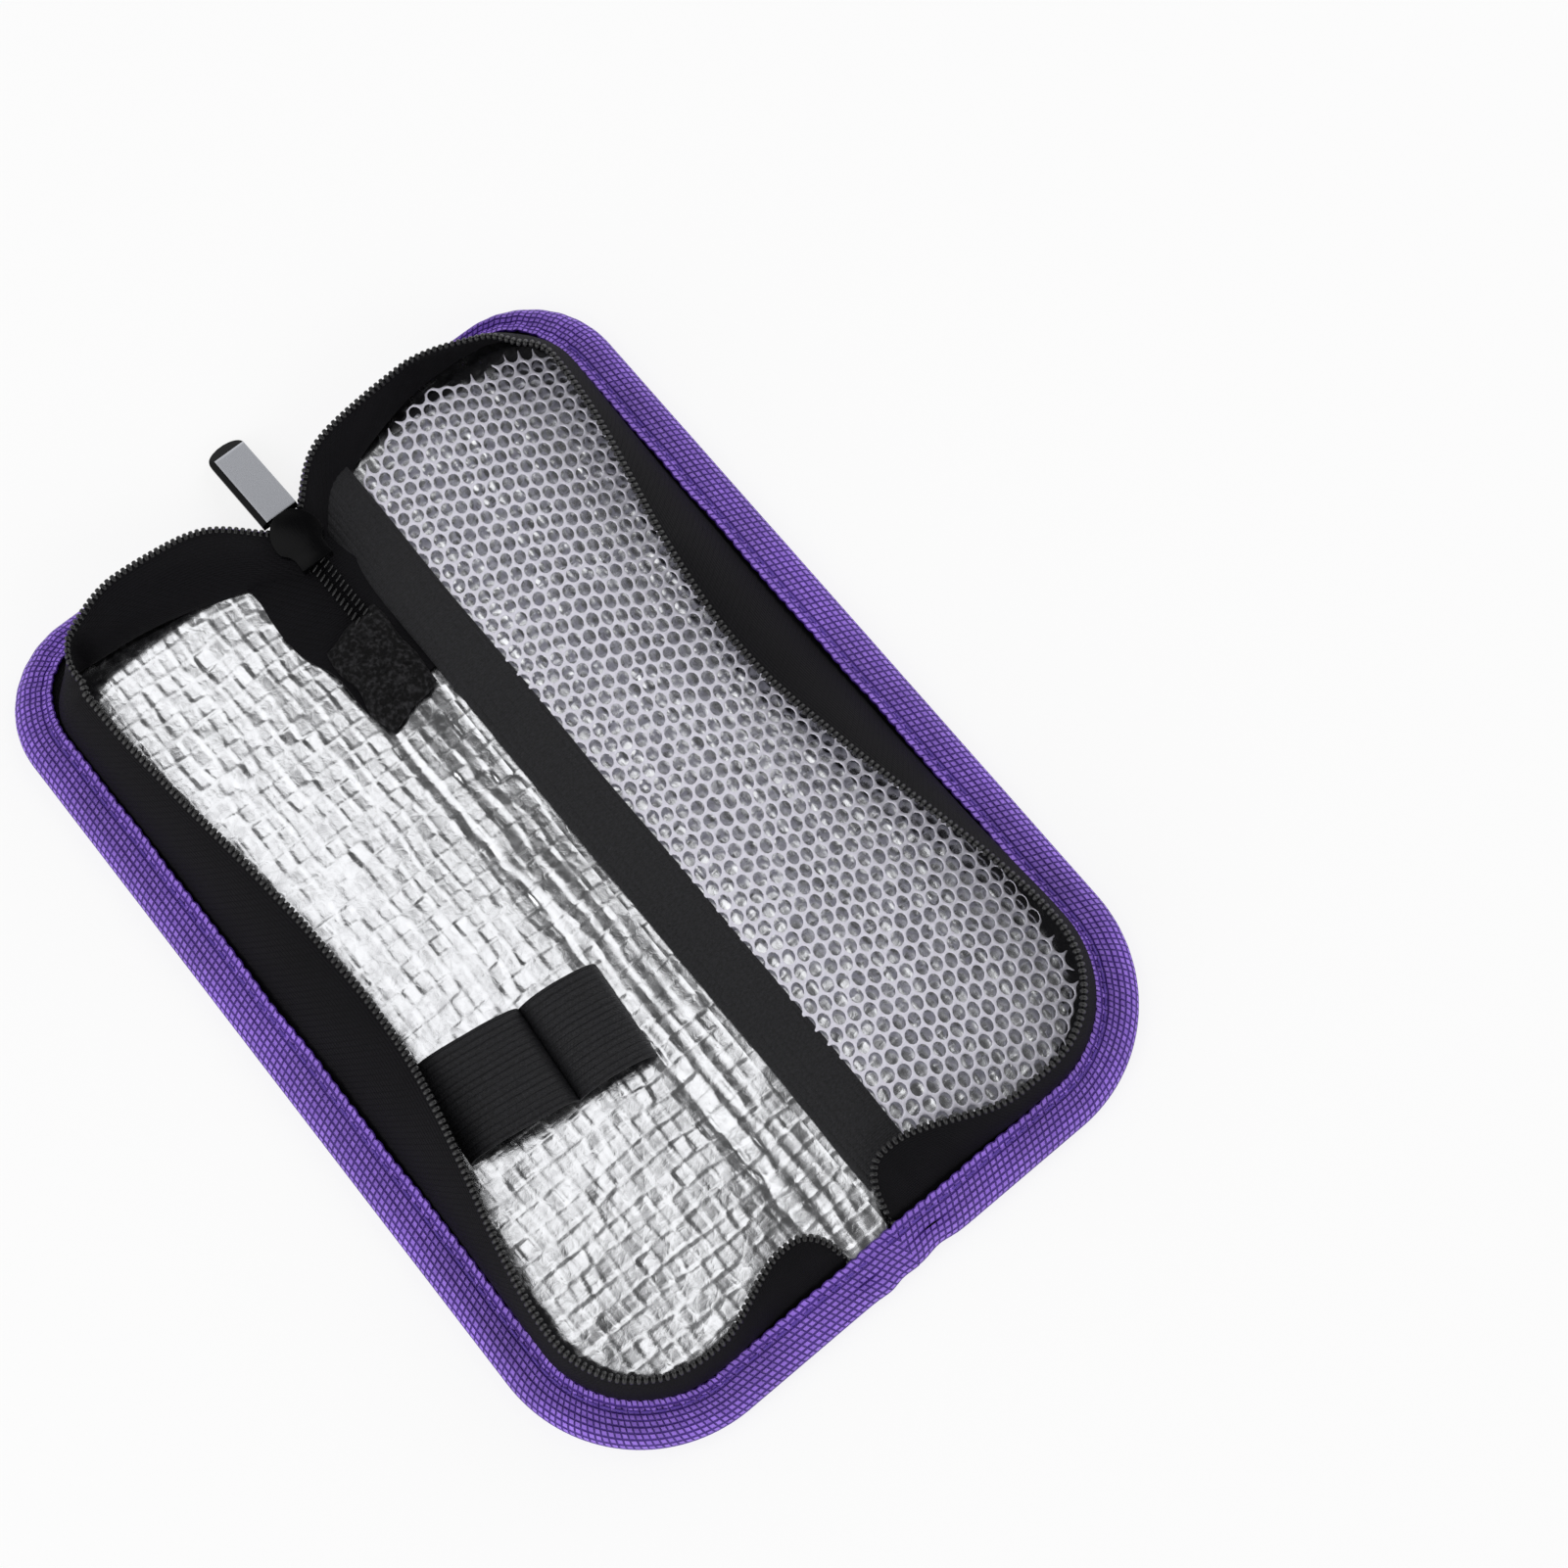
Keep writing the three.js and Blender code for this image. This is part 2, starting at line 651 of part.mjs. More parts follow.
// A plate of the slider's outline between two levels.
function sliderSlab(bottom, top) {
  const geometry = extruded(sliderOutline(), top - bottom);
  geometry.translate(0, 0, bottom);
  return solidOf(geometry);
}

function block(x0, x1, y0, y1, z0, z1) {
  const geometry = new THREE.BoxGeometry(x1 - x0, y1 - y0, z1 - z0);
  geometry.translate((x0 + x1) / 2, (y0 + y1) / 2, (z0 + z1) / 2);
  return solidOf(geometry);
}

const lowerTop = -SLIDER_CLEARANCE;
const lowerBottom = lowerTop - SLIDER_PLATE;
const upperBottom = chainTop + SLIDER_CLEARANCE;
const upperTop = upperBottom + SLIDER_PLATE;
const eyeY = SLIDER_Y + SLIDER_LENGTH + EYE_REACH;
const eyeZ = (lowerBottom + upperTop) / 2;

// A round bar across the nose, such as the eye bar that the pull tab swings on.
function crossBar(radius, length) {
  const geometry = new THREE.CylinderGeometry(radius, radius, length, ROUND_STEPS);
  return geometry.rotateZ(Math.PI / 2);
}

// Slider: two plates on a post, with the upper one turned down at its flanks to guide the teeth.
function sliderBody() {
  const flank = TAPE_THICKNESS + SLIDER_CLEARANCE;
  const front = SLIDER_Y + SLIDER_LENGTH;
  const guide = SLIDER_NOSE / 2;
  const narrow = (SLIDER_TAIL - 2 * SLIDER_WALL) / SLIDER_TAIL;
  const channel = extruded(sliderOutline(), upperBottom - lowerTop);
  channel.translate(0, -SLIDER_Y - SLIDER_LENGTH / 2, lowerTop);
  channel.scale(narrow, 1 + SLIDER_WALL, 1);
  channel.translate(0, SLIDER_Y + SLIDER_LENGTH / 2, 0);
  const mouth = block(-guide, guide, front - POST_LENGTH, front + guide, lowerTop, upperBottom);
  const cap = sliderSlab(flank, upperTop).subtract(solidOf(channel).add(mouth));
  const half = POST_WIDTH / 2;
  const post = block(-half, half, postStart, front - SLIDER_WALL, lowerBottom, upperTop);
  const inner = EYE_SPAN / 2;
  const earBack = front - POST_LENGTH / 2;
  const earRadius = 2 * EYE_BAR_RADIUS;
  const ear = (x) => {
    const arm = block(x, x + EYE_EAR, earBack, eyeY, lowerBottom, eyeZ + earRadius);
    return arm.add(solidOf(crossBar(earRadius, EYE_EAR).translate(x + EYE_EAR / 2, eyeY, eyeZ)));
  };
  const bar = solidOf(crossBar(EYE_BAR_RADIUS, EYE_SPAN + EYE_EAR).translate(0, eyeY, eyeZ));
  return geometryOf(
    sliderSlab(lowerBottom, lowerTop)
      .add(cap)
      .add(post)
      .add(ear(inner))
      .add(ear(-inner - EYE_EAR))
      .add(bar),
  );
}

// Pull tab in the frame of its pivot: a flat bar on a neck round the eye bar, its round end sloped off.
function pullTab() {
  const hole = EYE_BAR_RADIUS + TAB_PLAY;
  const half = TAB_WIDTH / 2;
  const thick = TAB_THICKNESS / 2;
  const facet = TAB_LENGTH - TAB_TIP;
  const plate = new THREE.Shape();
  plate.moveTo(-half, TAB_NECK_LENGTH);
  plate.lineTo(half, TAB_NECK_LENGTH);
  plate.lineTo(half, facet);
  plate.absellipse(0, facet, half, TAB_TIP, 0, Math.PI);
  const bevelled = new THREE.ExtrudeGeometry(plate, {
    depth: TAB_THICKNESS - 2 * TAB_BEVEL,
    bevelThickness: TAB_BEVEL,
    bevelSize: TAB_BEVEL,
    bevelOffset: -TAB_BEVEL,
    bevelSegments: 1,
    curveSegments: ROUND_STEPS / 2,
  });
  bevelled.translate(0, 0, TAB_BEVEL - thick);
  const neckEnd = TAB_NECK_LENGTH + 2 * TAB_BEVEL;
  const neck = block(-TAB_NECK / 2, TAB_NECK / 2, hole, neckEnd, -thick, thick);
  const hoop = solidOf(crossBar(hole + TAB_RING, TAB_NECK));
  const bore = solidOf(crossBar(hole, TAB_WIDTH));
  const slope = Math.atan2(TAB_TIP_DROP, TAB_TIP);
  const down = [0, -Math.sin(slope), -Math.cos(slope)];
  const sloped = solidOf(bevelled).trimByPlane(down, down[1] * facet + down[2] * thick);
  return geometryOf(hoop.add(neck).subtract(bore).add(sloped));
}

// Angle below the level at which the tab comes to rest on the binding's outer edge.
function tabDroop() {
  const [c, s] = [Math.cos(tailSlope), Math.sin(tailSlope)];
  const pivotY = tailY + eyeY * c - eyeZ * s;
  const pivotZ = FLOOR + TAIL_LIFT + eyeY * s + eyeZ * c;
  const drop = pivotZ - BINDING_HEIGHT - TAB_THICKNESS / 2 - TAB_REST_GAP;
  return Math.atan2(drop, LENGTH / 2 - BINDING_ROUNDING - pivotY);
}

// Materials

function finish(color, roughness, metalness = 0) {
  return new THREE.MeshStandardMaterial({ color, roughness, metalness });
}
const oxford = finish(0x6a3fa6, 0.75);
const webbing = finish(0x6b45b5, 0.7);
const foam = finish(0xe9e9e4, 0.9);
const foil = finish(0xc9ccd0, 0.25, 0.9);
const tapeBlack = finish(0x141416, 0.85);
const teethBlack = finish(0x18181a, 0.45);
const elastic = finish(0x171719, 0.8);
const netWhite = finish(0xd9d6e6, 0.7);
const gunmetal = finish(0x2e3036, 0.3, 0.8);

// Assembly

const part = new THREE.Group();

function add(name, geometry, material, parent = part) {
  const mesh = new THREE.Mesh(geometry, material);
  mesh.name = name;
  parent.add(mesh);
}

function addLayers(name, layerOf) {
  add(name + "_cover", layerOf(coverSteps()), oxford);
  add(name + "_foam", layerOf(foamSteps()), foam);
  add(name + "_foil", layerOf(foilSteps()), foil);
}

for (const [name, side] of [["base", LOOP_SIDE], ["lid", POCKET_SIDE]]) {
  addLayers(name, (steps) => halfLayer(side, steps));
  add(name + "_binding", binding(halfEdge(side)), webbing);
  add(name + "_zip_tape", zipTape(side), tapeBlack);
  add(name + "_zip_teeth", zipTeeth(side), teethBlack);
}

addLayers("spine", spineLayer);
add("spine_binding_near", binding(spineEnd(-1)), webbing);
add("spine_binding_far", binding(spineEnd(1)), webbing);

add("pen_loop_band", penLoopBand(), elastic);
add("net_pocket", netPocket(), netWhite);
add("pocket_ribbon", pocketRibbon(), elastic);

add("zip_end_tab", endTab(), tapeBlack);
const tail = new THREE.Group();
tail.position.set(ZIP_X, tailY, FLOOR + TAIL_LIFT);
tail.rotation.x = tailSlope;
part.add(tail);
add("zip_tail_tape", tailTape(), tapeBlack, tail);
add("zip_tail_chain", tailChain(), teethBlack, tail);
add("zip_slider", sliderBody(), gunmetal, tail);

const swing = new THREE.Group();
swing.position.set(0, eyeY, eyeZ);
swing.rotation.x = -tailSlope - tabDroop();
tail.add(swing);
add("pull_tab", pullTab(), gunmetal, swing);

export default part;
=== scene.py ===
"""Soft zip-round cooling case, lying open: cloth, foil, binding, zip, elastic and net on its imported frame."""

import json
from math import pi, radians, sin, cos

import bpy
import numpy as np
from bpy.props import FloatProperty, FloatVectorProperty, IntProperty, PointerProperty
from bpy.types import Operator, Panel, PropertyGroup
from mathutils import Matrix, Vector


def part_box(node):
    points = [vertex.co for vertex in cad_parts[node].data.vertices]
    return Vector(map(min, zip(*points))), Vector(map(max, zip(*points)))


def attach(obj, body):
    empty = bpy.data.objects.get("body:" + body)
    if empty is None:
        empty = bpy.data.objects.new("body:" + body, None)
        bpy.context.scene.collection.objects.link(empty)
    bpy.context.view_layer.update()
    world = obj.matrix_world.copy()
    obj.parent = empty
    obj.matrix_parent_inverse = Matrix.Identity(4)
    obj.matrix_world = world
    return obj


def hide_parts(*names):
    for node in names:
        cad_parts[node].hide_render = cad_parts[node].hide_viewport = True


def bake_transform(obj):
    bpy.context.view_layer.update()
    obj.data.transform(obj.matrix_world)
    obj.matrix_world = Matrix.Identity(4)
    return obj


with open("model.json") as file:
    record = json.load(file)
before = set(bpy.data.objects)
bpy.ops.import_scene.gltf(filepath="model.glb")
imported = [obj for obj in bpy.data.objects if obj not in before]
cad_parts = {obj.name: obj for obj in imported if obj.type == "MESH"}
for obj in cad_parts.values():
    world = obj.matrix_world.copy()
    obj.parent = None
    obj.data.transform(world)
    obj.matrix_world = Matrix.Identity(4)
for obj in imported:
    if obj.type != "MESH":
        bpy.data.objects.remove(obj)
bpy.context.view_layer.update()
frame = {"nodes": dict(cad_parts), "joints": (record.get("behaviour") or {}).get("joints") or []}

bl_info = {
    "name": "Cooling Case",
    "version": (1, 0, 0),
    "blender": (4, 5, 0),
    "location": "View3D > Sidebar > Cooling Case",
    "description": "Builds a soft zip-round cooling case piece by piece around its packed frame",
    "category": "Object",
}

# Units, and the two halves by the side of the spine that they lie on. Bare lengths are millimetres.
MM = 0.001
LEFT = -1
RIGHT = 1
SIDES = {"left": LEFT, "right": RIGHT}


def node_mm(node):
    """Lowest and highest corner of a CAD node, in millimetres."""
    return [np.array(corner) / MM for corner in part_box(node)]


BINDING_LOW, BINDING_HIGH = node_mm("base_binding")
LOOPS_LOW, LOOPS_HIGH = node_mm("pen_loop_band")
TAIL_LOW, TAIL_HIGH = node_mm("zip_tail_tape")
CHAIN_LOW, CHAIN_HIGH = node_mm("zip_tail_chain")
TAB_LOW, TAB_HIGH = node_mm("zip_end_tab")
SLIDER_LOW, SLIDER_HIGH = node_mm("zip_slider")
RIBBON_LOW = node_mm("pocket_ribbon")[0]
FOIL_TOP = node_mm("base_foil")[1][2]
FOLD_X = {joint["name"]: joint["pos_m"][0] / MM for joint in frame["joints"] if joint["type"] == "hinge"}
FOLD_HALF = FOLD_X["lid_fold"]
ZIP_X = (SLIDER_LOW[0] + SLIDER_HIGH[0]) / 2
PULL_PIVOT = next(np.array(j["pos_m"]) / MM for j in frame["joints"] if j["name"] == "pull_tab_swing")


def length_property(name, description, millimetres):
    """A length that a user may change."""
    return FloatProperty(name=name, description=description, default=millimetres * MM, unit="LENGTH")


class CaseSizes(PropertyGroup):
    """Sizes of the case that its maker would choose."""

    binding_width: length_property("Binding width", "Width of the binding that shows on each face", 8)
    near_radius: length_property("Near radius", "Radius of the two outer corners away from the slider", 30)
    far_radius: length_property("Far radius", "Radius of the two outer corners by the slider", 20)
    side_lean: length_property("Side lean", "How far the zip tape leans in, midway along a side", 13.5)
    tape_width: length_property("Tape width", "Width of the zip tape from its seam to its teeth", 15.5)
    teeth_pitch: length_property("Teeth pitch", "Distance from turn to turn of the zip's coil", 1.2)
    cell_width: length_property("Cell width", "Distance across the case between the foil's threads", 2.95)
    cell_length: length_property("Cell length", "Distance along the case between the foil's threads", 3.8)
    net_pitch: length_property("Net pitch", "Distance along the case from hole to hole of the net", 3.48)
    net_row: length_property("Net row", "Distance across the case from row to row of the net's holes", 2.45)
    net_cord: length_property("Net cord", "Width of the cord between two holes of the net", 0.46)
    rib_pitch: length_property("Rib pitch", "Distance from rib to rib of the elastic", 1.25)
    crumple_seed: IntProperty(
        name="Crumple seed",
        description="Draw that the unevenness of the cloth and foil starts from",
        default=7,
    )


def colour_property(name, description, code):
    """A colour that a user may change, from its sRGB hex value."""
    return FloatVectorProperty(
        name=name, description=description, default=linear(code), size=4, subtype="COLOR", min=0, max=1
    )


def linear(code):
    """Linear RGBA of an sRGB hex colour."""
    values = [int(code[i : i + 2], 16) / 255 for i in (1, 3, 5)]
    return tuple(v / 12.92 if v <= 0.04045 else ((v + 0.055) / 1.055) ** 2.4 for v in values) + (1.0,)


class CaseColours(PropertyGroup):
    """Colours of the case's materials."""

    binding: colour_property("Binding", "Threads of the binding tape", "#A078E8")
    # Painted shade between the binding's threads, put into the colour of the gaps
    binding_gap: colour_property("Binding gaps", "Shade between the binding's threads", "#43208C")
    cover: colour_property("Cover", "Raised threads of the outer cloth", "#7F51B4")
    # Painted shade between the outer cloth's threads, put into the colour of the gaps
    cover_gap: colour_property("Cover gaps", "Shade between the outer cloth's threads", "#4F2A86")
    thread: colour_property("Thread", "Sewing thread of the binding", "#5A37A6")
    tape: colour_property("Zip tape", "Woven zip tape", "#0F0E12")
    coil: colour_property("Coil", "Nylon coil of the zip", "#08080A")
    elastic: colour_property("Elastic", "Ribbed elastic", "#151518")
    net: colour_property("Net", "Knitted net", "#DCDAE6")
    foil: colour_property("Foil", "Aluminised film", "#E4E5E8")
    foam: colour_property("Foam", "Insulating foam", "#E9E8E0")
    slider: colour_property("Slider", "Painted slider", "#060607")
    tab: colour_property("Pull tab", "Plated pull tab", "#B0B2B8")
    floor: colour_property("Floor", "Pale floor", "#F6F6F6")


# Shape of the case, in millimetres


def sizes():
    """The sizes in use."""
    return bpy.context.scene.case_sizes


def colour(name):
    """One of the colours in use."""
    return tuple(getattr(bpy.context.scene.case_colours, name))


def smooth(a, b, x):
    """0 before a, 1 after b, and a smooth step between them."""
    t = np.clip((x - a) / (b - a), 0, 1)
    return t * t * (3 - 2 * t)


def mix(a, b, t):
    return a + (b - a) * t


def bell(x, width):
    """1 at 0, falling off over a width on both sides of it."""
    return np.exp(-((x / width) ** 2))


def ripple(x, y, wave, seed, count=7):
    """Soft unevenness, about -1 to 1, of a few seeded waves about so many millimetres long."""
    draw = np.random.default_rng(sizes().crumple_seed * 100 + seed)
    total = np.zeros(np.shape(x))
    for _ in range(count):
        turn, phase = draw.uniform(0, 2 * pi, 2)
        length = wave * draw.uniform(0.65, 1.5)
        total += np.sin((x * cos(turn) + y * sin(turn)) * 2 * pi / length + phase)
    return total / count**0.5 * 0.75


def half_width():
    return -BINDING_LOW[0]


def half_length():
    return BINDING_HIGH[1]


def radii():
    """Radius of the near corners and of the far ones."""
    return sizes().near_radius / MM, sizes().far_radius / MM


def near_corner_start():
    """Distance along a half's edge at which the near corner starts."""
    return half_width() - radii()[0]


def far_corner_start():
    """Distance along a half's edge at which the far corner starts."""
    near, far = radii()
    return near_corner_start() + near * pi / 2 + 2 * half_length() - near - far


def edge_length():
    """Length of one half's outer edge, from the spine's near middle to its far middle."""
    far = radii()[1]
    return far_corner_start() + far * pi / 2 + half_width() - far


def edge_at(side, distance):
    """Points of a half's outer edge and the way in from them, by distance from the spine's near middle."""
    near, far = radii()
    d = np.asarray(distance, float)
    past_near = d - near_corner_start()
    past_far = d - far_corner_start()
    near_turn = np.clip(past_near / near, 0, pi / 2)
    far_turn = np.clip(past_far / far, 0, pi / 2)
    u = np.clip(d, None, near_corner_start()) + near * np.sin(near_turn) - far * (1 - np.cos(far_turn))
    u = u - np.clip(past_far - far * pi / 2, 0, None)
    straight = np.clip(past_near - near * pi / 2, 0, 2 * half_length() - near - far)
    y = -half_length() + near * (1 - np.cos(near_turn)) + straight + far * np.sin(far_turn)
    turn = near_turn + far_turn
    return side * u, y, -side * np.sin(turn), np.cos(turn)


ZIP_PULL = 11
ZIP_PULL_WIDTH = 9
ZIP_PULL_START = 58


def drawn_in(x, y):
    """Place along the case of a point whose part of the far edge the zip draws in."""
    return y - ZIP_PULL * bell(x - ZIP_X, ZIP_PULL_WIDTH) * smooth(ZIP_PULL_START, half_length(), y)


def inset_at(x, y):
    """How far inside the outer edge a point lies, before the zip draws the edge in."""
    r = np.where(np.asarray(y) < 0, *radii())
    qx = np.abs(x) - (half_width() - r)
    qy = np.abs(y) - (half_length() - r)
    outside = np.hypot(np.maximum(qx, 0), np.maximum(qy, 0))
    return r - outside - np.minimum(np.maximum(qx, qy), 0)


def half_outline(side, s, t, inset):
    """Points over one half out to an inset from its edge: s from the spine outwards, t from near to far."""
    r = np.where(t < 0.5, *radii())
    y = (2 * t - 1) * (half_length() - inset)
    past = np.maximum(np.abs(y) - (half_length() - r), 0)
    reach = half_width() - r + np.sqrt(np.maximum((r - inset) ** 2 - past**2, 0))
    return side * s * reach, y


# Making meshes


def start():
    """Object mode with nothing selected."""
    if bpy.context.object and bpy.context.object.mode != "OBJECT":
        bpy.ops.object.mode_set(mode="OBJECT")
    bpy.ops.object.select_all(action="DESELECT")


def pick(piece):
    """Object mode with one piece selected and active."""
    start()
    piece.select_set(True)
    bpy.context.view_layer.objects.active = piece


def points_of(piece):
    values = np.empty(len(piece.data.vertices) * 3)
    piece.data.vertices.foreach_get("co", values)
    return values.reshape(-1, 3)


def put_points(piece, points):
    piece.data.vertices.foreach_set("co", np.ascontiguousarray(points, float).ravel())
    piece.data.update()


def named(name):
    """The object just made, under the piece's name."""
    piece = bpy.context.object
    piece.name = name
    piece.data.name = name
    return piece


def shaped_grid(name, columns, rows, shape, cloth):
    """A sheet of columns by rows faces, placed by shape(s, t) in millimetres, with UVs in metres of cloth."""
    start()
    bpy.ops.mesh.primitive_grid_add(x_subdivisions=columns, y_subdivisions=rows, size=1, calc_uvs=True)
    piece = named(name)
    flat = points_of(piece) + 0.5
    put_points(piece, np.stack(shape(flat[:, 0], flat[:, 1]), 1) * MM)
    loops = piece.data.uv_layers.active.data
    uv = np.empty(len(loops) * 2)
    loops.foreach_get("uv", uv)
    loops.foreach_set("uv", (uv.reshape(-1, 2) * np.array(cloth) * MM).ravel())
    return piece


def applied(piece, kind, **settings):
    """Adds a modifier to a piece and applies it."""
    pick(piece)
    modifier = piece.modifiers.new(kind.title(), kind)
    for key, value in settings.items():
        setattr(modifier, key, value)
    bpy.ops.object.modifier_apply(modifier=modifier.name)
    return piece


def edited(piece, *steps):
    """Runs edit-mode steps on the whole of a piece."""
    pick(piece)
    bpy.ops.object.mode_set(mode="EDIT")
    bpy.ops.mesh.select_all(action="SELECT")
    for step in steps:
        step()
    bpy.ops.object.mode_set(mode="OBJECT")
    return piece


def face_out():
    bpy.ops.mesh.normals_make_consistent(inside=False)


def rounded(piece, width, degrees):
    """A piece with its edges sharper than an angle rounded, by a width in millimetres."""
    angle = radians(degrees)
    return applied(piece, "BEVEL", width=width * MM, segments=2, limit_method="ANGLE", angle_limit=angle)


def thickened(piece, thickness, offset=0):
    """A sheet given its thickness, facing outwards and smooth."""
    applied(piece, "SOLIDIFY", thickness=thickness * MM, offset=offset)
    edited(piece, face_out)
    return smoothed(piece)


def smoothed(piece, degrees=50):
    pick(piece)
    bpy.ops.object.shade_smooth_by_angle(angle=radians(degrees))
    return piece


def copies_of(pattern, name, places):
    """One piece of many copies of a pattern piece. A place is an origin and three axes, in millimetres."""
    base = points_of(pattern)
    faces = [tuple(face.vertices) for face in pattern.data.polygons]
    origins, axes = places
    points = np.einsum("vk,nkj->nvj", base, axes) + origins[:, None] * MM
    count = len(base)
    mesh = bpy.data.meshes.new(name)
    listed = [tuple(i + k * count for i in face) for k in range(len(origins)) for face in faces]
    mesh.from_pydata(points.reshape(-1, 3).tolist(), [], listed)
    piece = bpy.data.objects.new(name, mesh)
    bpy.context.collection.objects.link(piece)
    bpy.data.objects.remove(pattern)
    edited(piece, face_out)
    return smoothed(piece)


def capsule(length, width, height):
    """A short round-ended bar along X at the origin, in millimetres."""
    start()
    bpy.ops.mesh.primitive_uv_sphere_add(segments=8, ring_count=6, radius=0.5 * MM)
    piece = named("pattern")
    points = points_of(piece)
    along = np.sign(points[:, 0]) * np.abs(points[:, 0] * 2 / MM) ** 0.45 * length / 2
    put_points(piece, np.stack([along * MM, points[:, 1] * width, points[:, 2] * height], 1))
    return piece


def frames_along(points, up):
    """Unit axes along a line of points, with the third axis near up: along, across, up."""
    along = np.gradient(points, axis=0)
    along /= np.linalg.norm(along, axis=1, keepdims=True)
    across = np.cross(up, along)
    across /= np.linalg.norm(across, axis=1, keepdims=True)
    return along, across, np.cross(along, across)


def spaced(points, pitch):
    """Positions, as fractional indices, at equal spacing along a line of points."""
    steps = np.linalg.norm(np.diff(points, axis=0), axis=1)
    length = np.concatenate([[0], np.cumsum(steps)])
    count = int(length[-1] / pitch)
    return np.interp(np.linspace(0, length[-1], count + 1), length, np.arange(len(points)))


def at_fraction(values, index):
    """Rows of values at fractional indices."""
    whole = np.arange(len(values))
    return np.stack([np.interp(index, whole, values[:, k]) for k in range(values.shape[1])], 1)


# Materials


def add_node(tree, kind, inputs=(), **settings):
    """Adds a node, sets its settings, and fills or links its inputs."""
    node = tree.nodes.new(kind)
    for key, value in settings.items():
        setattr(node, key, value)
    for key, value in dict(inputs).items():
        if isinstance(value, bpy.types.NodeSocket):
            tree.links.new(value, node.inputs[key])
        else:
            node.inputs[key].default_value = value
    return node


def new_material(name):
    """An empty node material and its tree, or None for the tree where it is made already."""
    if name in bpy.data.materials:
        return bpy.data.materials[name], None
    material = bpy.data.materials.new(name)
    material.use_nodes = True
    material.node_tree.nodes.clear()
    return material, material.node_tree


def cloth_weave(tree, length, width, slant=0.0):
    """Height of thread floats of a size in millimetres, on the cloth's UV map, row slid along row."""
    place = add_node(tree, "ShaderNodeUVMap")
    split = add_node(tree, "ShaderNodeSeparateXYZ", {0: place.outputs["UV"]})
    slid = add_node(
        tree,
        "ShaderNodeMath",
        {0: split.outputs["Y"], 1: slant, 2: split.outputs["X"]},
        operation="MULTIPLY_ADD",
    )
    laid = add_node(tree, "ShaderNodeCombineXYZ", {"X": slid.outputs[0], "Y": split.outputs["Y"]})
    brick = add_node(
        tree,
        "ShaderNodeTexBrick",
        {
            "Vector": laid.outputs[0],
            "Color1": (0.72, 0.72, 0.72, 1),
            "Color2": (1, 1, 1, 1),
            "Mortar": (0, 0, 0, 1),
            "Scale": 1 / MM,
            "Mortar Size": width * 0.25,
            "Mortar Smooth": 1.0,
            "Brick Width": length,
            "Row Height": width,
        },
        offset=0.0 if slant else 0.5,
    )
    return place, brick


def woven(name, low, high, length, width, roughness, depth, specular, blotch, slant=0.0):
    """A woven cloth: staggered floats that catch the light, painted shade in the low colour between them, and
    slight blotches.
    """
    material, tree = new_material(name)
    if tree is None:
        return material
    place, brick = cloth_weave(tree, length, width, slant)
    noise = add_node(
        tree,
        "ShaderNodeTexNoise",
        {"Vector": place.outputs["UV"], "Scale": 1 / (blotch * MM), "Detail": 3.0},
    )
    # Painted shade: the gaps between the floats take the low colour, standing in for the shade between the
    # threads
    shade = add_node(
        tree,
        "ShaderNodeMix",
        {0: brick.outputs["Color"], 6: low, 7: high},
        data_type="RGBA",
    )
    wear = add_node(
        tree,
        "ShaderNodeMapRange",
        {"Value": noise.outputs["Fac"], "From Min": 0.3, "From Max": 0.7, "To Min": 0.82, "To Max": 1.12},
    )
    tint = add_node(tree, "ShaderNodeHueSaturation", {"Value": wear.outputs[0], "Color": shade.outputs[2]})
    bump = add_node(
        tree,
        "ShaderNodeBump",
        {"Height": brick.outputs["Color"], "Strength": 1.0, "Distance": depth * MM},
    )
    shader = add_node(
        tree,
        "ShaderNodeBsdfPrincipled",
        {
            "Base Color": tint.outputs[0],
            "Roughness": roughness,
            "Specular IOR Level": specular,
            "Normal": bump.outputs[0],
        },
    )
    add_node(tree, "ShaderNodeOutputMaterial", {"Surface": shader.outputs["BSDF"]})
    return material


def binding_material():
    """Woven polyester tape: thick staggered floats with a soft shine, and painted shade between them."""
    return woven(
        "woven_polyester_tape",
        colour("binding_gap"),
        colour("binding"),
        length=1.3,
        width=1.05,
        roughness=0.5,
        depth=0.45,
        specular=0.35,
        blotch=14,
        slant=0.48,
    )


def cover_material():
    """Coated polyester Oxford cloth: small bright dots of thread, with darker, redder painted shade between
    them.
    """
    return woven(
        "polyester_oxford",
        colour("cover_gap"),
        colour("cover"),
        length=0.95,
        width=0.55,
        roughness=0.55,
        depth=0.15,
        specular=0.4,
        blotch=40,
    )


def tape_material():
    """Black polyester zip tape: a fine close twill with a satin shine, and painted shade between its threads.
    """
    # Painted shade between the threads: half the tape's colour
    dark = tuple(0.5 * v for v in colour("tape")[:3]) + (1,)
    return woven(
        "polyester_zip_tape",
        dark,
        colour("tape"),
        length=1.1,
        width=0.5,
        roughness=0.6,
        depth=0.1,
        specular=0.1,
        blotch=9,
        slant=0.6,
    )


def thread_material():
    """Spun polyester thread: twisted strands that shade across their length."""
    material, tree = new_material("polyester_thread")
    if tree is None:
        return material
    place = add_node(tree, "ShaderNodeTexCoord")
    noise = add_node(
        tree,
        "ShaderNodeTexNoise",
        {"Vector": place.outputs["Object"], "Scale": 1 / (0.5 * MM), "Detail": 2.0},
    )
    bump = add_node(tree, "ShaderNodeBump", {"Height": noise.outputs["Fac"], "Distance": 0.08 * MM})
    shader = add_node(
        tree,
        "ShaderNodeBsdfPrincipled",
        {
            "Base Color": colour("thread"),
            "Roughness": 0.55,
            "Sheen Weight": 0.2,
            "Normal": bump.outputs[0],
        },
    )
    add_node(tree, "ShaderNodeOutputMaterial", {"Surface": shader.outputs["BSDF"]})
    return material


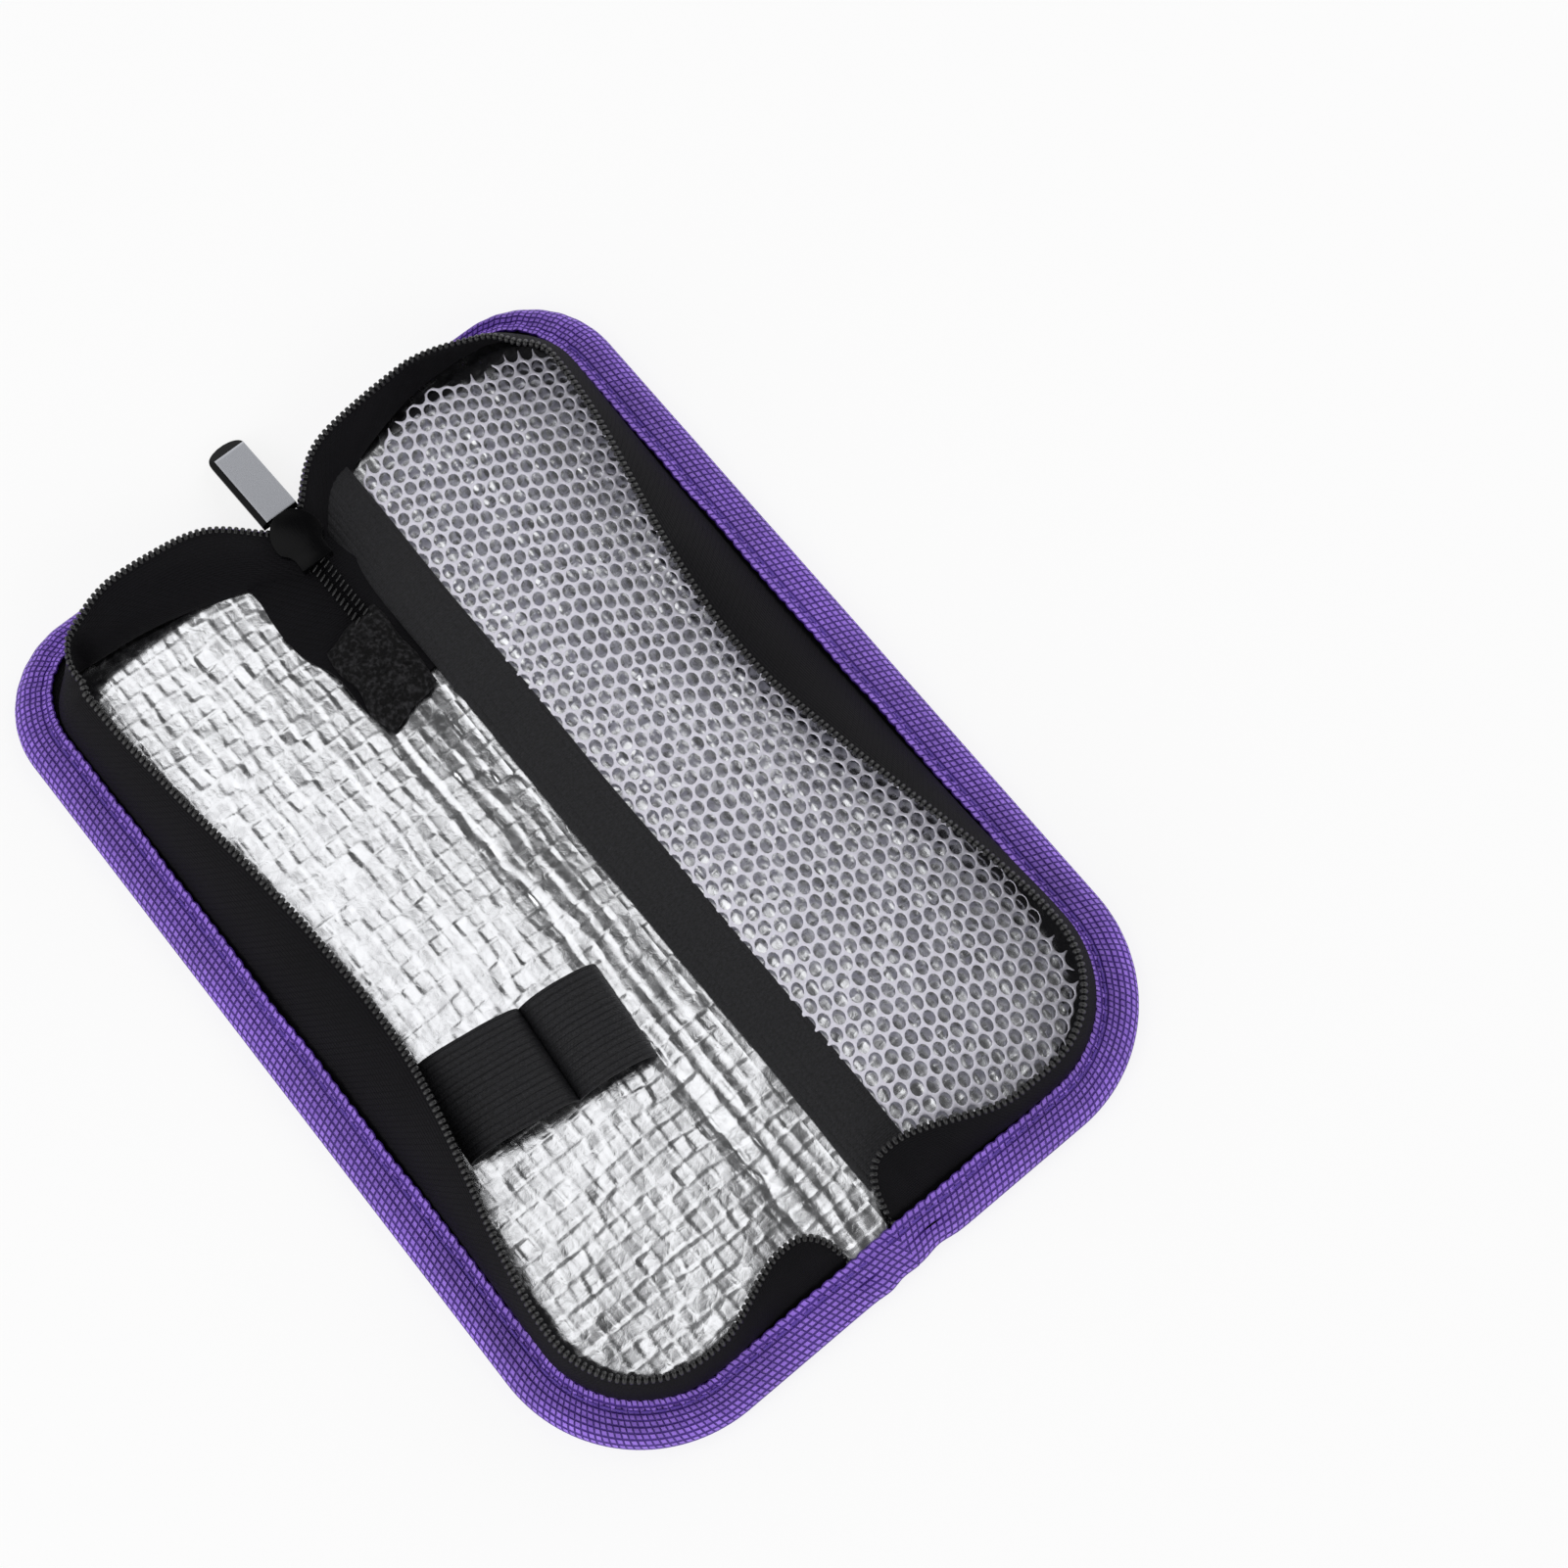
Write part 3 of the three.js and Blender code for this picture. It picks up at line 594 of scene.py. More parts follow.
def coil_material():
    """Dyed nylon monofilament: smooth black with small sharp highlights."""
    material, tree = new_material("nylon_coil")
    if tree is None:
        return material
    place = add_node(tree, "ShaderNodeTexCoord")
    noise = add_node(
        tree,
        "ShaderNodeTexNoise",
        {"Vector": place.outputs["Object"], "Scale": 1 / (2.0 * MM), "Detail": 2.0},
    )
    rough = add_node(
        tree, "ShaderNodeMapRange", {"Value": noise.outputs["Fac"], "To Min": 0.25, "To Max": 0.45}
    )
    shader = add_node(
        tree,
        "ShaderNodeBsdfPrincipled",
        {
            "Base Color": colour("coil"),
            "Roughness": rough.outputs[0],
            "IOR": 1.53,
            "Specular IOR Level": 0.45,
        },
    )
    add_node(tree, "ShaderNodeOutputMaterial", {"Surface": shader.outputs["BSDF"]})
    return material


def elastic_material():
    """Covered elastic: matt black yarn with a fine knit across the ribs and a few grey fibres."""
    material, tree = new_material("covered_elastic")
    if tree is None:
        return material
    place, brick = cloth_weave(tree, 0.7, 0.45)
    fibre = add_node(
        tree, "ShaderNodeTexNoise", {"Vector": place.outputs["UV"], "Scale": 1 / (0.6 * MM), "Detail": 4.0}
    )
    grey = add_node(
        tree,
        "ShaderNodeMapRange",
        {"Value": fibre.outputs["Fac"], "From Min": 0.35, "From Max": 0.75, "To Min": 0.7, "To Max": 2.0},
    )
    tint = add_node(tree, "ShaderNodeHueSaturation", {"Value": grey.outputs[0], "Color": colour("elastic")})
    bump = add_node(tree, "ShaderNodeBump", {"Height": brick.outputs["Color"], "Distance": 0.1 * MM})
    shader = add_node(
        tree,
        "ShaderNodeBsdfPrincipled",
        {
            "Base Color": tint.outputs[0],
            "Roughness": 0.6,
            "Specular IOR Level": 0.3,
            "Normal": bump.outputs[0],
        },
    )
    add_node(tree, "ShaderNodeOutputMaterial", {"Surface": shader.outputs["BSDF"]})
    return material


def fuzz_material():
    """Brushed black tape: matt, with bright specks painted into its colour where standing fibres would catch
    the light.
    """
    material, tree = new_material("brushed_tape")
    if tree is None:
        return material
    place = add_node(tree, "ShaderNodeTexCoord")
    noise = add_node(
        tree,
        "ShaderNodeTexNoise",
        {"Vector": place.outputs["Object"], "Scale": 1 / (0.9 * MM), "Detail": 6.0},
    )
    # Painted highlight: the noise lifts the tape's colour up to six times in specks of caught light
    grey = add_node(
        tree,
        "ShaderNodeMapRange",
        {"Value": noise.outputs["Fac"], "From Min": 0.45, "From Max": 0.75, "To Min": 0.6, "To Max": 6.0},
    )
    tint = add_node(
        tree,
        "ShaderNodeHueSaturation",
        {"Saturation": 0.3, "Value": grey.outputs[0], "Color": colour("tape")},
    )
    bump = add_node(tree, "ShaderNodeBump", {"Height": noise.outputs["Fac"], "Distance": 0.5 * MM})
    shader = add_node(
        tree,
        "ShaderNodeBsdfPrincipled",
        {
            "Base Color": tint.outputs[0],
            "Roughness": 0.85,
            "Specular IOR Level": 0.15,
            "Normal": bump.outputs[0],
        },
    )
    add_node(tree, "ShaderNodeOutputMaterial", {"Surface": shader.outputs["BSDF"]})
    return material


def net_material():
    """Knitted nylon net: white filament with a lilac cast and a faint ridge along each cord."""
    material, tree = new_material("knitted_nylon")
    if tree is None:
        return material
    place = add_node(tree, "ShaderNodeTexCoord")
    noise = add_node(
        tree,
        "ShaderNodeTexNoise",
        {"Vector": place.outputs["Object"], "Scale": 1 / (0.5 * MM), "Detail": 3.0},
    )
    light = add_node(
        tree, "ShaderNodeMapRange", {"Value": noise.outputs["Fac"], "To Min": 0.85, "To Max": 1.08}
    )
    tint = add_node(tree, "ShaderNodeHueSaturation", {"Value": light.outputs[0], "Color": colour("net")})
    bump = add_node(tree, "ShaderNodeBump", {"Height": noise.outputs["Fac"], "Distance": 0.12 * MM})
    shader = add_node(
        tree,
        "ShaderNodeBsdfPrincipled",
        {
            "Base Color": tint.outputs[0],
            "Roughness": 0.45,
            "IOR": 1.53,
            "Normal": bump.outputs[0],
        },
    )
    add_node(tree, "ShaderNodeOutputMaterial", {"Surface": shader.outputs["BSDF"]})
    return material


def foil_material():
    """Aluminised film: a bright mirror, creased finely, and duller in patches that follow the creases."""
    material, tree = new_material("aluminised_film")
    if tree is None:
        return material
    place = add_node(tree, "ShaderNodeTexCoord")
    crease = add_node(
        tree,
        "ShaderNodeTexNoise",
        {"Vector": place.outputs["Object"], "Scale": 1 / (1.8 * MM), "Detail": 3.0, "Distortion": 0.6},
    )
    dull = add_node(
        tree,
        "ShaderNodeMapRange",
        {"Value": crease.outputs["Fac"], "From Min": 0.35, "From Max": 0.7, "To Min": 0.16, "To Max": 0.3},
    )
    bump = add_node(tree, "ShaderNodeBump", {"Height": crease.outputs["Fac"], "Distance": 0.06 * MM})
    shader = add_node(
        tree,
        "ShaderNodeBsdfPrincipled",
        {
            "Base Color": colour("foil"),
            "Metallic": 1.0,
            "Roughness": dull.outputs[0],
            "Normal": bump.outputs[0],
        },
    )
    add_node(tree, "ShaderNodeOutputMaterial", {"Surface": shader.outputs["BSDF"]})
    return material


def foam_material():
    """Closed-cell polyethylene foam: matt off-white with fine cells."""
    material, tree = new_material("polyethylene_foam")
    if tree is None:
        return material
    place = add_node(tree, "ShaderNodeTexCoord")
    cells = add_node(
        tree, "ShaderNodeTexVoronoi", {"Vector": place.outputs["Object"], "Scale": 1 / (1.0 * MM)}
    )
    bump = add_node(tree, "ShaderNodeBump", {"Height": cells.outputs["Distance"], "Distance": 0.1 * MM})
    shader = add_node(
        tree,
        "ShaderNodeBsdfPrincipled",
        {
            "Base Color": colour("foam"),
            "Roughness": 0.8,
            "Normal": bump.outputs[0],
        },
    )
    add_node(tree, "ShaderNodeOutputMaterial", {"Surface": shader.outputs["BSDF"]})
    return material


def metal_material(name, tone, metallic, gloss, specular):
    """Plated or painted zinc: smooth, with polishing marks, and roughness that varies between two values."""
    material, tree = new_material(name)
    if tree is None:
        return material
    place = add_node(tree, "ShaderNodeTexCoord")
    # The polishing marks are drawn coarser than real ones, so that they show
    stretch = add_node(
        tree,
        "ShaderNodeMapping",
        {"Vector": place.outputs["Object"], "Scale": (1 / (0.3 * MM), 1 / (4 * MM), 1 / (0.3 * MM))},
    )
    noise = add_node(
        tree, "ShaderNodeTexNoise", {"Vector": stretch.outputs[0], "Scale": 1.0, "Detail": 3.0}
    )
    rough = add_node(
        tree, "ShaderNodeMapRange", {"Value": noise.outputs["Fac"], "To Min": gloss[0], "To Max": gloss[1]}
    )
    bump = add_node(tree, "ShaderNodeBump", {"Height": noise.outputs["Fac"], "Distance": 0.01 * MM})
    shader = add_node(
        tree,
        "ShaderNodeBsdfPrincipled",
        {
            "Base Color": tone,
            "Metallic": metallic,
            "Roughness": rough.outputs[0],
            "Specular IOR Level": specular,
            "Normal": bump.outputs[0],
        },
    )
    add_node(tree, "ShaderNodeOutputMaterial", {"Surface": shader.outputs["BSDF"]})
    return material


def paint_material():
    """Black paint on zinc: dark and even, with a narrow gleam."""
    return metal_material("painted_zinc", colour("slider"), metallic=0.0, gloss=(0.2, 0.32), specular=0.1)


def plating_material():
    """Gunmetal plating on zinc: grey metal that mirrors the room softly."""
    return metal_material("gunmetal_plating", colour("tab"), metallic=0.85, gloss=(0.2, 0.34), specular=0.5)


FLOOR_GLOW = 0.82


def floor_material():
    """Pale matt table: near white to the eye and in reflections, with the case's soft shadow on it."""
    material, tree = new_material("pale_table")
    if tree is None:
        return material
    rays = add_node(tree, "ShaderNodeLightPath")
    seen = add_node(
        tree,
        "ShaderNodeMath",
        {0: rays.outputs["Is Camera Ray"], 1: rays.outputs["Is Glossy Ray"]},
        operation="MAXIMUM",
    )
    through = add_node(
        tree,
        "ShaderNodeMath",
        {0: seen.outputs[0], 1: rays.outputs["Is Transmission Ray"]},
        operation="MAXIMUM",
    )
    share = add_node(tree, "ShaderNodeMath", {0: through.outputs[0], 1: FLOOR_GLOW}, operation="MULTIPLY")
    matt = add_node(tree, "ShaderNodeBsdfDiffuse", {"Color": colour("floor")})
    glow = add_node(tree, "ShaderNodeEmission", {"Color": (1, 1, 1, 1), "Strength": 1.0})
    both = add_node(
        tree, "ShaderNodeMixShader", {0: share.outputs[0], 1: matt.outputs[0], 2: glow.outputs[0]}
    )
    add_node(tree, "ShaderNodeOutputMaterial", {"Surface": both.outputs[0]})
    return material


def wear_it(piece, material):
    piece.data.materials.clear()
    piece.data.materials.append(material)
    return piece


# Placement of the pieces, and the CAD nodes that they stand for


def bend_with_fold(piece, side):
    """A piece of one half with its placement baked into its points; both sides are treated alike."""
    if side == LEFT:
        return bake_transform(piece)
    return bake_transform(piece)


def half_nodes(side, layer):
    """CAD nodes of a layer that a half's piece stands for: the half's own and, on one side, the spine's."""
    own = ("base_" if side == LEFT else "lid_") + layer
    return [own, "spine_" + layer] if side == LEFT else [own]


# Pieces: outer cloth, foam, foil


def make_cover(name, side):
    """Outer cloth of one half, with soft dents, and its edge tucked up into the binding."""
    width = sizes().binding_width / MM

    def shape(s, t):
        x, y = half_outline(side, s, t, 1.0)
        inset = inset_at(x, y)
        tuck = 0.95 * smooth(width + 2.2, width, inset)
        dents = 0.28 * (1 + ripple(x, y, 46, 1)) * smooth(width + 2, width + 12, inset)
        return x, drawn_in(x, y), 0.05 + tuck + np.clip(dents, 0, 0.45)

    span = half_width()
    piece = shaped_grid(name, 90, 220, shape, (span, 2 * half_length()))
    thickened(piece, 0.3, 1 if side == RIGHT else -1)
    points = points_of(piece)
    points[:, 2] = np.maximum(points[:, 2], 0)
    put_points(piece, points)
    wear_it(piece, cover_material())
    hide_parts(*half_nodes(side, "cover"))
    return bend_with_fold(piece, side)


def make_foam(name, side):
    """Foam pad of one half, thinner towards its edge and slightly crowned."""
    width = sizes().binding_width / MM

    def shape(s, t):
        x, y = half_outline(side, s, t, width + 2.6)
        return x, y, np.full(x.shape, 1.55)

    piece = shaped_grid(name, 40, 100, shape, (half_width(), 2 * half_length()))
    thickened(piece, 1.4)
    points = points_of(piece) / MM
    inset = inset_at(points[:, 0], points[:, 1])
    points[:, 2] = 1.55 + (points[:, 2] - 1.55) * mix(0.35, 1.0, smooth(width + 2.5, width + 6, inset))
    points[:, 1] = drawn_in(points[:, 0], points[:, 1])
    put_points(piece, points * MM)
    wear_it(piece, foam_material())
    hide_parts(*half_nodes(side, "foam"))
    return bend_with_fold(piece, side)


def scrim_place(x, y, seed):
    """Place of a point among the scrim's cells, whose threads wander a little: cells across and along."""
    wander = 0.35 * ripple(x, y, 26, seed + 1) + 0.25 * ripple(x, y, 12, seed + 3)
    across = (x + wander) / (sizes().cell_width / MM)
    wander = 0.35 * ripple(x, y, 26, seed + 2) + 0.25 * ripple(x, y, 12, seed + 4)
    along = (y + wander) / (sizes().cell_length / MM)
    return across, along


SCRIM_THREAD = 0.36


def scrim_height(x, y, seed):
    """Height of the film over its scrim: a tilted pillow in each cell, with raised threads between."""
    draw = np.random.default_rng(sizes().crumple_seed * 100 + seed)
    tilt = np.clip(draw.standard_t(3, (64, 128, 3)), -4, 4)
    across, along = scrim_place(x, y, seed)
    i = np.floor(across).astype(int)
    j = np.floor(along).astype(int)
    fx = across - i - 0.5
    fy = along - j - 0.5
    cell = tilt[i % 64, j % 128]
    window = (1 - (2 * np.abs(fx)) ** 8) * (1 - (2 * np.abs(fy)) ** 8)
    pillow = 0.03 * (1 - (2 * fx) ** 2) * (1 - (2 * fy) ** 2)
    facet = 0.05 * (cell[:, 0] * fx + cell[:, 1] * fy) + 0.02 * cell[:, 2]
    edge_x = (0.5 - np.abs(fx)) * sizes().cell_width / MM
    edge_y = (0.5 - np.abs(fy)) * sizes().cell_length / MM
    grip = draw.uniform(0.45, 1.0, (64, 128, 2))
    lengthwise = grip[np.round(across).astype(int) % 64, j % 128, 0] * bell(edge_x, SCRIM_THREAD)
    crosswise = grip[i % 64, np.round(along).astype(int) % 128, 1] * bell(edge_y, SCRIM_THREAD)
    return facet * window + pillow + 0.1 * np.maximum(lengthwise, crosswise)


FOIL_FAR = {LEFT: 2.8, RIGHT: -3.5}
SPINE_CREASE = -12.2
RIDGE_PITCH = 3.3


def make_foil(name, side):
    """Foil lining of one half: bright film on a scrim, sloped and pulled into long ridges by the spine."""
    width = sizes().binding_width / MM

    def shape(s, t):
        x, y = half_outline(side, s, t, 2.0)
        inset = inset_at(x, y)
        between_ears = smooth(-11, -8, x) * smooth(1.5, -1, x) * smooth(-75, -88, y)
        bare = width + FOIL_FAR[side] * smooth(64, 84, y) - 4 * between_ears
        level = mix(2.05, FOIL_TOP - 0.1, smooth(bare, bare + 5, inset))
        open_part = smooth(bare + 1, bare + 5, inset)
        fold = x - SPINE_CREASE + 0.5 * ripple(y, y * 0, 60, 21) + 0.35 * ripple(y, y * 0, 11, 26)
        crease = -0.22 * bell(fold, 0.9)
        slope = mix(0.025, -0.05, smooth(-60, 10, y)) * np.clip(fold, 0, -SPINE_CREASE) * smooth(12, 2, x)
        near_spine = bell(x - 0.6 * SPINE_CREASE, 5)
        pulled = mix(0.03, 0.07, smooth(10, -50, y))
        ridge = pulled * np.sin(x * 2 * pi / RIDGE_PITCH + 1.5 * ripple(x, y, 38, 24))
        ridge = ridge + 0.06 * ripple(x, 0.4 * y, 5, 25)
        crumple = 0.12 * ripple(x, y, 34, 22) + 0.03 * ripple(x, y, 11, 23)
        film = crease + slope + ridge * near_spine + crumple + scrim_height(x, y, 30 if side == LEFT else 50)
        return x, drawn_in(x, y), np.clip(level + open_part * film, 1.95, None)

    span = half_width()
    columns, rows = ((165, 600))
    piece = shaped_grid(name, columns, rows, shape, (span, 2 * half_length()))
    if side == LEFT:
        edited(piece, bpy.ops.mesh.flip_normals)
    smoothed(piece, 70)
    wear_it(piece, foil_material())
    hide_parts(*half_nodes(side, "foil"))
    return bend_with_fold(piece, side)


# Pieces: binding and its stitches


FAR_WIDTHS = {LEFT: 5.6, RIGHT: 3.6}
STITCH_INSET = 1.7
STITCH_PITCH = 3.1
LIP_PITCH = 2.67


def binding_reach(side, distance):
    """Width of the binding on the inside face, which the zip tape pushes back along the far end."""
    width = sizes().binding_width / MM
    return mix(width, FAR_WIDTHS[side], smooth(2, 32, distance - far_corner_start()))


def binding_profile(t, gather, width):
    """Inset and level across the binding, from its inner edge inside, round the outer edge, to the back."""
    radius = BINDING_HIGH[2] / 2
    leg = width - radius
    arc = pi * radius
    run = t * (2 * leg + arc)
    turn = np.clip((run - leg) / radius, 0, pi)
    inset = np.where(run < leg, width - run, np.where(run > leg + arc, run - arc - leg + radius, 0))
    inset = np.where((run >= leg) & (run <= leg + arc), radius - radius * np.sin(turn), inset)
    level = radius + radius * np.cos(turn)
    crown = 0.42 * np.sin(pi * np.clip((inset - 0.4) / (width - 2.4), 0, 1)) ** 1.5
    groove = 0.5 * bell(inset - (width - STITCH_INSET), 0.55)
    crease = 0.3 * bell(inset - width * 0.52, 0.7)
    puff = crown - groove - crease + gather
    front = np.cos(turn)
    level = level + np.where(front > 0, puff * front, -0.35 * puff * front)
    return inset, np.maximum(level, 0.02)


def make_binding(name, side):
    """Binding folded over one half's edge: crowned, sewn down, gathered at corners, pinched at the spine."""
    width = sizes().binding_width / MM
    length = edge_length()
    corners = list(zip((near_corner_start(), far_corner_start()), radii()))

    def shape(s, t):
        d = s * length
        x, y, ix, iy = edge_at(side, d)
        at_corner = 0
        for begin, radius in corners:
            stop = begin + radius * pi / 2
            at_corner = at_corner + smooth(begin - 4, begin + 6, d) * smooth(stop + 4, stop - 6, d)
        wave = np.sin(d * 2 * pi / 4.3 + 1.2 * ripple(d, d * 0, 31, 61 + side))
        gather = 0.2 * at_corner * wave + 0.13 * ripple(d, 3 * t, 17, 63 + side)
        inset, level = binding_profile(t, gather, binding_reach(side, d))
        pinch = bell(d - (4.2 if side == LEFT else -4.2), 2.6)
        inset = inset + pinch * (0.9 * (width - inset) / width)
        level = level + 0.55 * pinch * (level > 1.9)
        inset = inset + 0.16 * ripple(d, d * 0, 23, 65 + side) * smooth(3, width, inset)
        lip = smooth(0.1, 0.0, t) * np.abs(np.sin(d * pi / LIP_PITCH)) ** 0.6
        inset = inset + 0.4 * lip
        level = level + 0.35 * lip
        folds = 0.55 * np.clip(ripple(d, d * 0, 42, 67 + side), 0, 1) * bell(inset - 0.3 * width, 0.6)
        folds = folds + 1.1 * bell(d - 7 + side, 5) * bell(inset - 0.45 * width, 0.8)
        level = level - folds * (level > 2.2)
        twist = bell(d - 5, 3)
        inset = inset + (0.6 if side == RIGHT else -0.9) * twist * smooth(width, 0, inset)
        x, y = x + ix * inset, y + iy * inset
        return x, drawn_in(x, y), level

    columns = int(length / (0.5))
    piece = shaped_grid(name, columns, 34, shape, (length, 2 * width + 2))
    edited(piece, face_out)
    thickened(piece, 0.45, -1)
    wear_it(piece, binding_material())
    nodes = half_nodes(side, "binding")[:1]
    if side == LEFT:
        nodes += ["spine_binding_near", "spine_binding_far"]
    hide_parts(*nodes)
    return bend_with_fold(piece, side)


def make_stitches(name, side, face):
    """Lock stitches along the binding's inner edge, on the inside face or on the back."""
    stop_at = far_corner_start() + 5 if face > 0 else edge_length() - 1
    distance = np.arange(1.5, stop_at, STITCH_PITCH)
    x, y, ix, iy = edge_at(side, distance)
    inset = binding_reach(side, distance) - STITCH_INSET
    level = BINDING_HIGH[2] - 0.3 if face > 0 else 0.12
    stitch_x, stitch_y = x + ix * inset, y + iy * inset
    origins = np.stack([stitch_x, drawn_in(stitch_x, stitch_y), np.full(x.shape, level)], 1)
    inward = np.stack([ix, iy, 0 * ix], 1)
    up = np.tile([0.0, 0.0, 1.0], (len(x), 1))
    along = np.cross(inward, up)
    axes = np.stack([along, inward, up], 1)
    piece = copies_of(capsule(2.1, 0.5, 0.45 if face > 0 else 0.24), name, (origins, axes))
    wear_it(piece, thread_material())
    return bend_with_fold(piece, side)


# Pieces: zip


def meeting_level(u):
    """Level at which the two rows of teeth meet when the case is folded shut, at a distance from the fold."""
    joint = next(j for j in frame["joints"] if j["name"] == "lid_fold")
    fold = radians(joint["range_deg"][1])
    axis = joint["pos_m"][2] / MM
    return axis + FOLD_HALF * sin(fold) + (u + FOLD_HALF * cos(fold)) / np.tan(fold)


# The tape: its seam's level, the share that lies flat, and how it leans and stands along the edge
TAPE_SEAM = 2.55
TAPE_FLAT = 0.3
TAPE_BULGE = 0.22
TAPE_HIDDEN = 5.5
SEAM_GAP = 0.6
TEETH_ROOM = 2.9
TAPE_ENDS = {LEFT: (9.4, 5.6), RIGHT: (1.1, -1.4)}
NEAR_CORNER_LEAN = 2.8
EAR_LEANS = {LEFT: 8.6, RIGHT: 10.6}
EAR_RISES = {LEFT: (36, 17), RIGHT: (32, 9)}
EAR_ROUND = 6.0
EAR_HEIGHT = 4.4
FAR_CORNER_LEANS = {LEFT: 7.6, RIGHT: 4.2}
FAR_TURNS = {LEFT: (12, 45), RIGHT: (18, 48)}
FAR_LEANS = {LEFT: -5.4, RIGHT: -6.0}
BOW_MIDDLES = {LEFT: -1.2, RIGHT: 10.8}
SLIDER_HEIGHT = 4.4
TOES = {LEFT: (2.6, 10.3), RIGHT: (-4.1, 4.4)}
FOOT_RISES = {LEFT: 0.4, RIGHT: 1.1}


def near_slider(x, y, reach):
    """1 at the slider, falling to 0 at some way from it along the far end."""
    return smooth(reach, 1, np.abs(x - ZIP_X)) * (y > 0)


def tape_stand(side, distance):
    """How far the tape's free edge leans in from its seam and how high it stands, along a half's edge."""
    x, y, ix, _ = edge_at(side, distance)
    width = sizes().binding_width / MM
    u = np.abs(x)
    near_radius, far_radius = radii()
    middle = BOW_MIDDLES[side]
    bow_run = half_length() + np.where(y < middle, middle - near_radius, -middle - far_radius)
    bow = (1 - np.minimum(np.abs(y - middle) / bow_run, 1) ** 2) ** 2
    near_end = TAPE_ENDS[side][0]
    ear = np.sqrt(1 - (1 - np.clip((u - near_end) / EAR_ROUND, 0, 1)) ** 2)
    near = ear * mix(NEAR_CORNER_LEAN, EAR_LEANS[side], smooth(*EAR_RISES[side], u))
    past = distance - far_corner_start()
    far = mix(FAR_CORNER_LEANS[side], FAR_LEANS[side], smooth(*FAR_TURNS[side], past))
    lean = mix(np.where(y < 0, near, far), sizes().side_lean / MM, bow)
    crest_u = np.abs(x + ix * (width + SEAM_GAP + lean)) - FOLD_HALF
    room = meeting_level(crest_u) - TEETH_ROOM - TAPE_SEAM
    free = np.minimum(room, np.sqrt(np.maximum((sizes().tape_width / MM) ** 2 - lean**2, 1)))
    near_height = mix(0.8, mix(EAR_HEIGHT, free, smooth(near_end, near_end + 26, u)), ear)
    height = np.where(y < 0, near_height, free)
    return lean, mix(height, SLIDER_HEIGHT, near_slider(x, y, 30))


def tape_toe(side, distance):
    """How far inside the seam of the sides the tape's foot lies along the far end."""
    x, y, _, _ = edge_at(side, distance)
    corner_toe, slider_toe = TOES[side]
    toe = corner_toe * smooth(10, 40, distance - far_corner_start())
    return mix(toe, slider_toe, near_slider(x, y, 40))


def tape_range(side):
    near, far = TAPE_ENDS[side]
    return near, edge_length() - far


def tape_wall(side, distance, t):
    """Points of the zip tape: t from its tucked edge, over its seam and up the wall to its free edge."""
    width = sizes().binding_width / MM
    x, y, ix, iy = edge_at(side, distance)
    lean, height = tape_stand(side, distance)
    seam = width + SEAM_GAP
    toe = tape_toe(side, distance)
    foot = seam + toe
    foot_level = TAPE_SEAM + FOOT_RISES[side] * smooth(0, 20, distance - far_corner_start())
    crest_level = TAPE_SEAM + height
    flat = np.clip(t / TAPE_FLAT, 0, 1)
    v = np.clip((t - TAPE_FLAT) / (1 - TAPE_FLAT), 0, 1)
    outward = smooth(1, 5, toe - lean)
    mid_inset = (foot + seam + lean) / 2 - TAPE_BULGE * height
    mid_inset = mix(mid_inset, mix(foot, seam + lean, 0.15), outward)
    mid_level = (foot_level + crest_level) / 2 + TAPE_BULGE * np.abs(lean - toe)
    inset = (1 - v) ** 2 * foot + 2 * v * (1 - v) * mid_inset + v**2 * (seam + lean)
    level = (1 - v) ** 2 * foot_level + 2 * v * (1 - v) * mid_level + v**2 * crest_level
    inset = np.where(t < TAPE_FLAT, mix(np.minimum(seam - TAPE_HIDDEN, foot - 2), foot, flat), inset)
    level = np.where(t < TAPE_FLAT, mix(TAPE_SEAM + 0.15, foot_level, smooth(0.3, 1, flat)), level)
    puckers = 0.3 * ripple(distance, 14 * t, 19, 71 + side) * v * (1 - 0.7 * v)
    inset = inset + puckers * 0.8
    level = level + puckers * 0.5
    x, y = x + ix * inset, y + iy * inset
    return x, drawn_in(x, y), level


def make_tape(name, side):
    """Zip tape of one half: sewn under the binding, standing, leaning in, and low at its ends."""
    start_at, stop_at = tape_range(side)

    def shape(s, t):
        return tape_wall(side, mix(start_at, stop_at, s**1.5), t)

    columns = int((stop_at - start_at) / (0.9))
    length = stop_at - start_at
    width = sizes().tape_width / MM + TAPE_HIDDEN
    piece = shaped_grid(name, columns, 24, shape, (length, width))
    thickened(piece, 0.45)
    wear_it(piece, tape_material())
    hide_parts("base_zip_tape" if side == LEFT else "lid_zip_tape")
    return bend_with_fold(piece, side)


def make_teeth(name, side):
    """Coil turns on the free edge of one half's tape, one short bar to each turn."""
    start_at, stop_at = tape_range(side)
    fine = np.linspace(start_at, stop_at, 1600)
    crest = np.stack(tape_wall(side, fine, np.full(fine.shape, 1.0)), 1)
    below = np.stack(tape_wall(side, fine, np.full(fine.shape, 0.93)), 1)
    wall = crest - below
    wall /= np.linalg.norm(wall, axis=1, keepdims=True)
    along, across, up = frames_along(crest, wall)
    index = spaced(crest, sizes().teeth_pitch / MM)
    origin = at_fraction(crest - 0.2 * wall, index)
    axes = np.stack([at_fraction(up, index), at_fraction(along, index), at_fraction(across, index)], 1)
    piece = copies_of(capsule(1.6, 1.1, 1.2), name, (origin, axes))
    wear_it(piece, coil_material())
    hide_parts("base_zip_teeth" if side == LEFT else "lid_zip_teeth")
    return bend_with_fold(piece, side)


TAIL_RISE = (TAIL_HIGH[2] - TAIL_LOW[2] - 0.6) / (TAIL_HIGH[1] - TAIL_LOW[1])


def tail_level(y):
    """Level of the top of the closed zip's tape along the spine."""
    return TAIL_LOW[2] + 0.6 + TAIL_RISE * (y - TAIL_LOW[1])


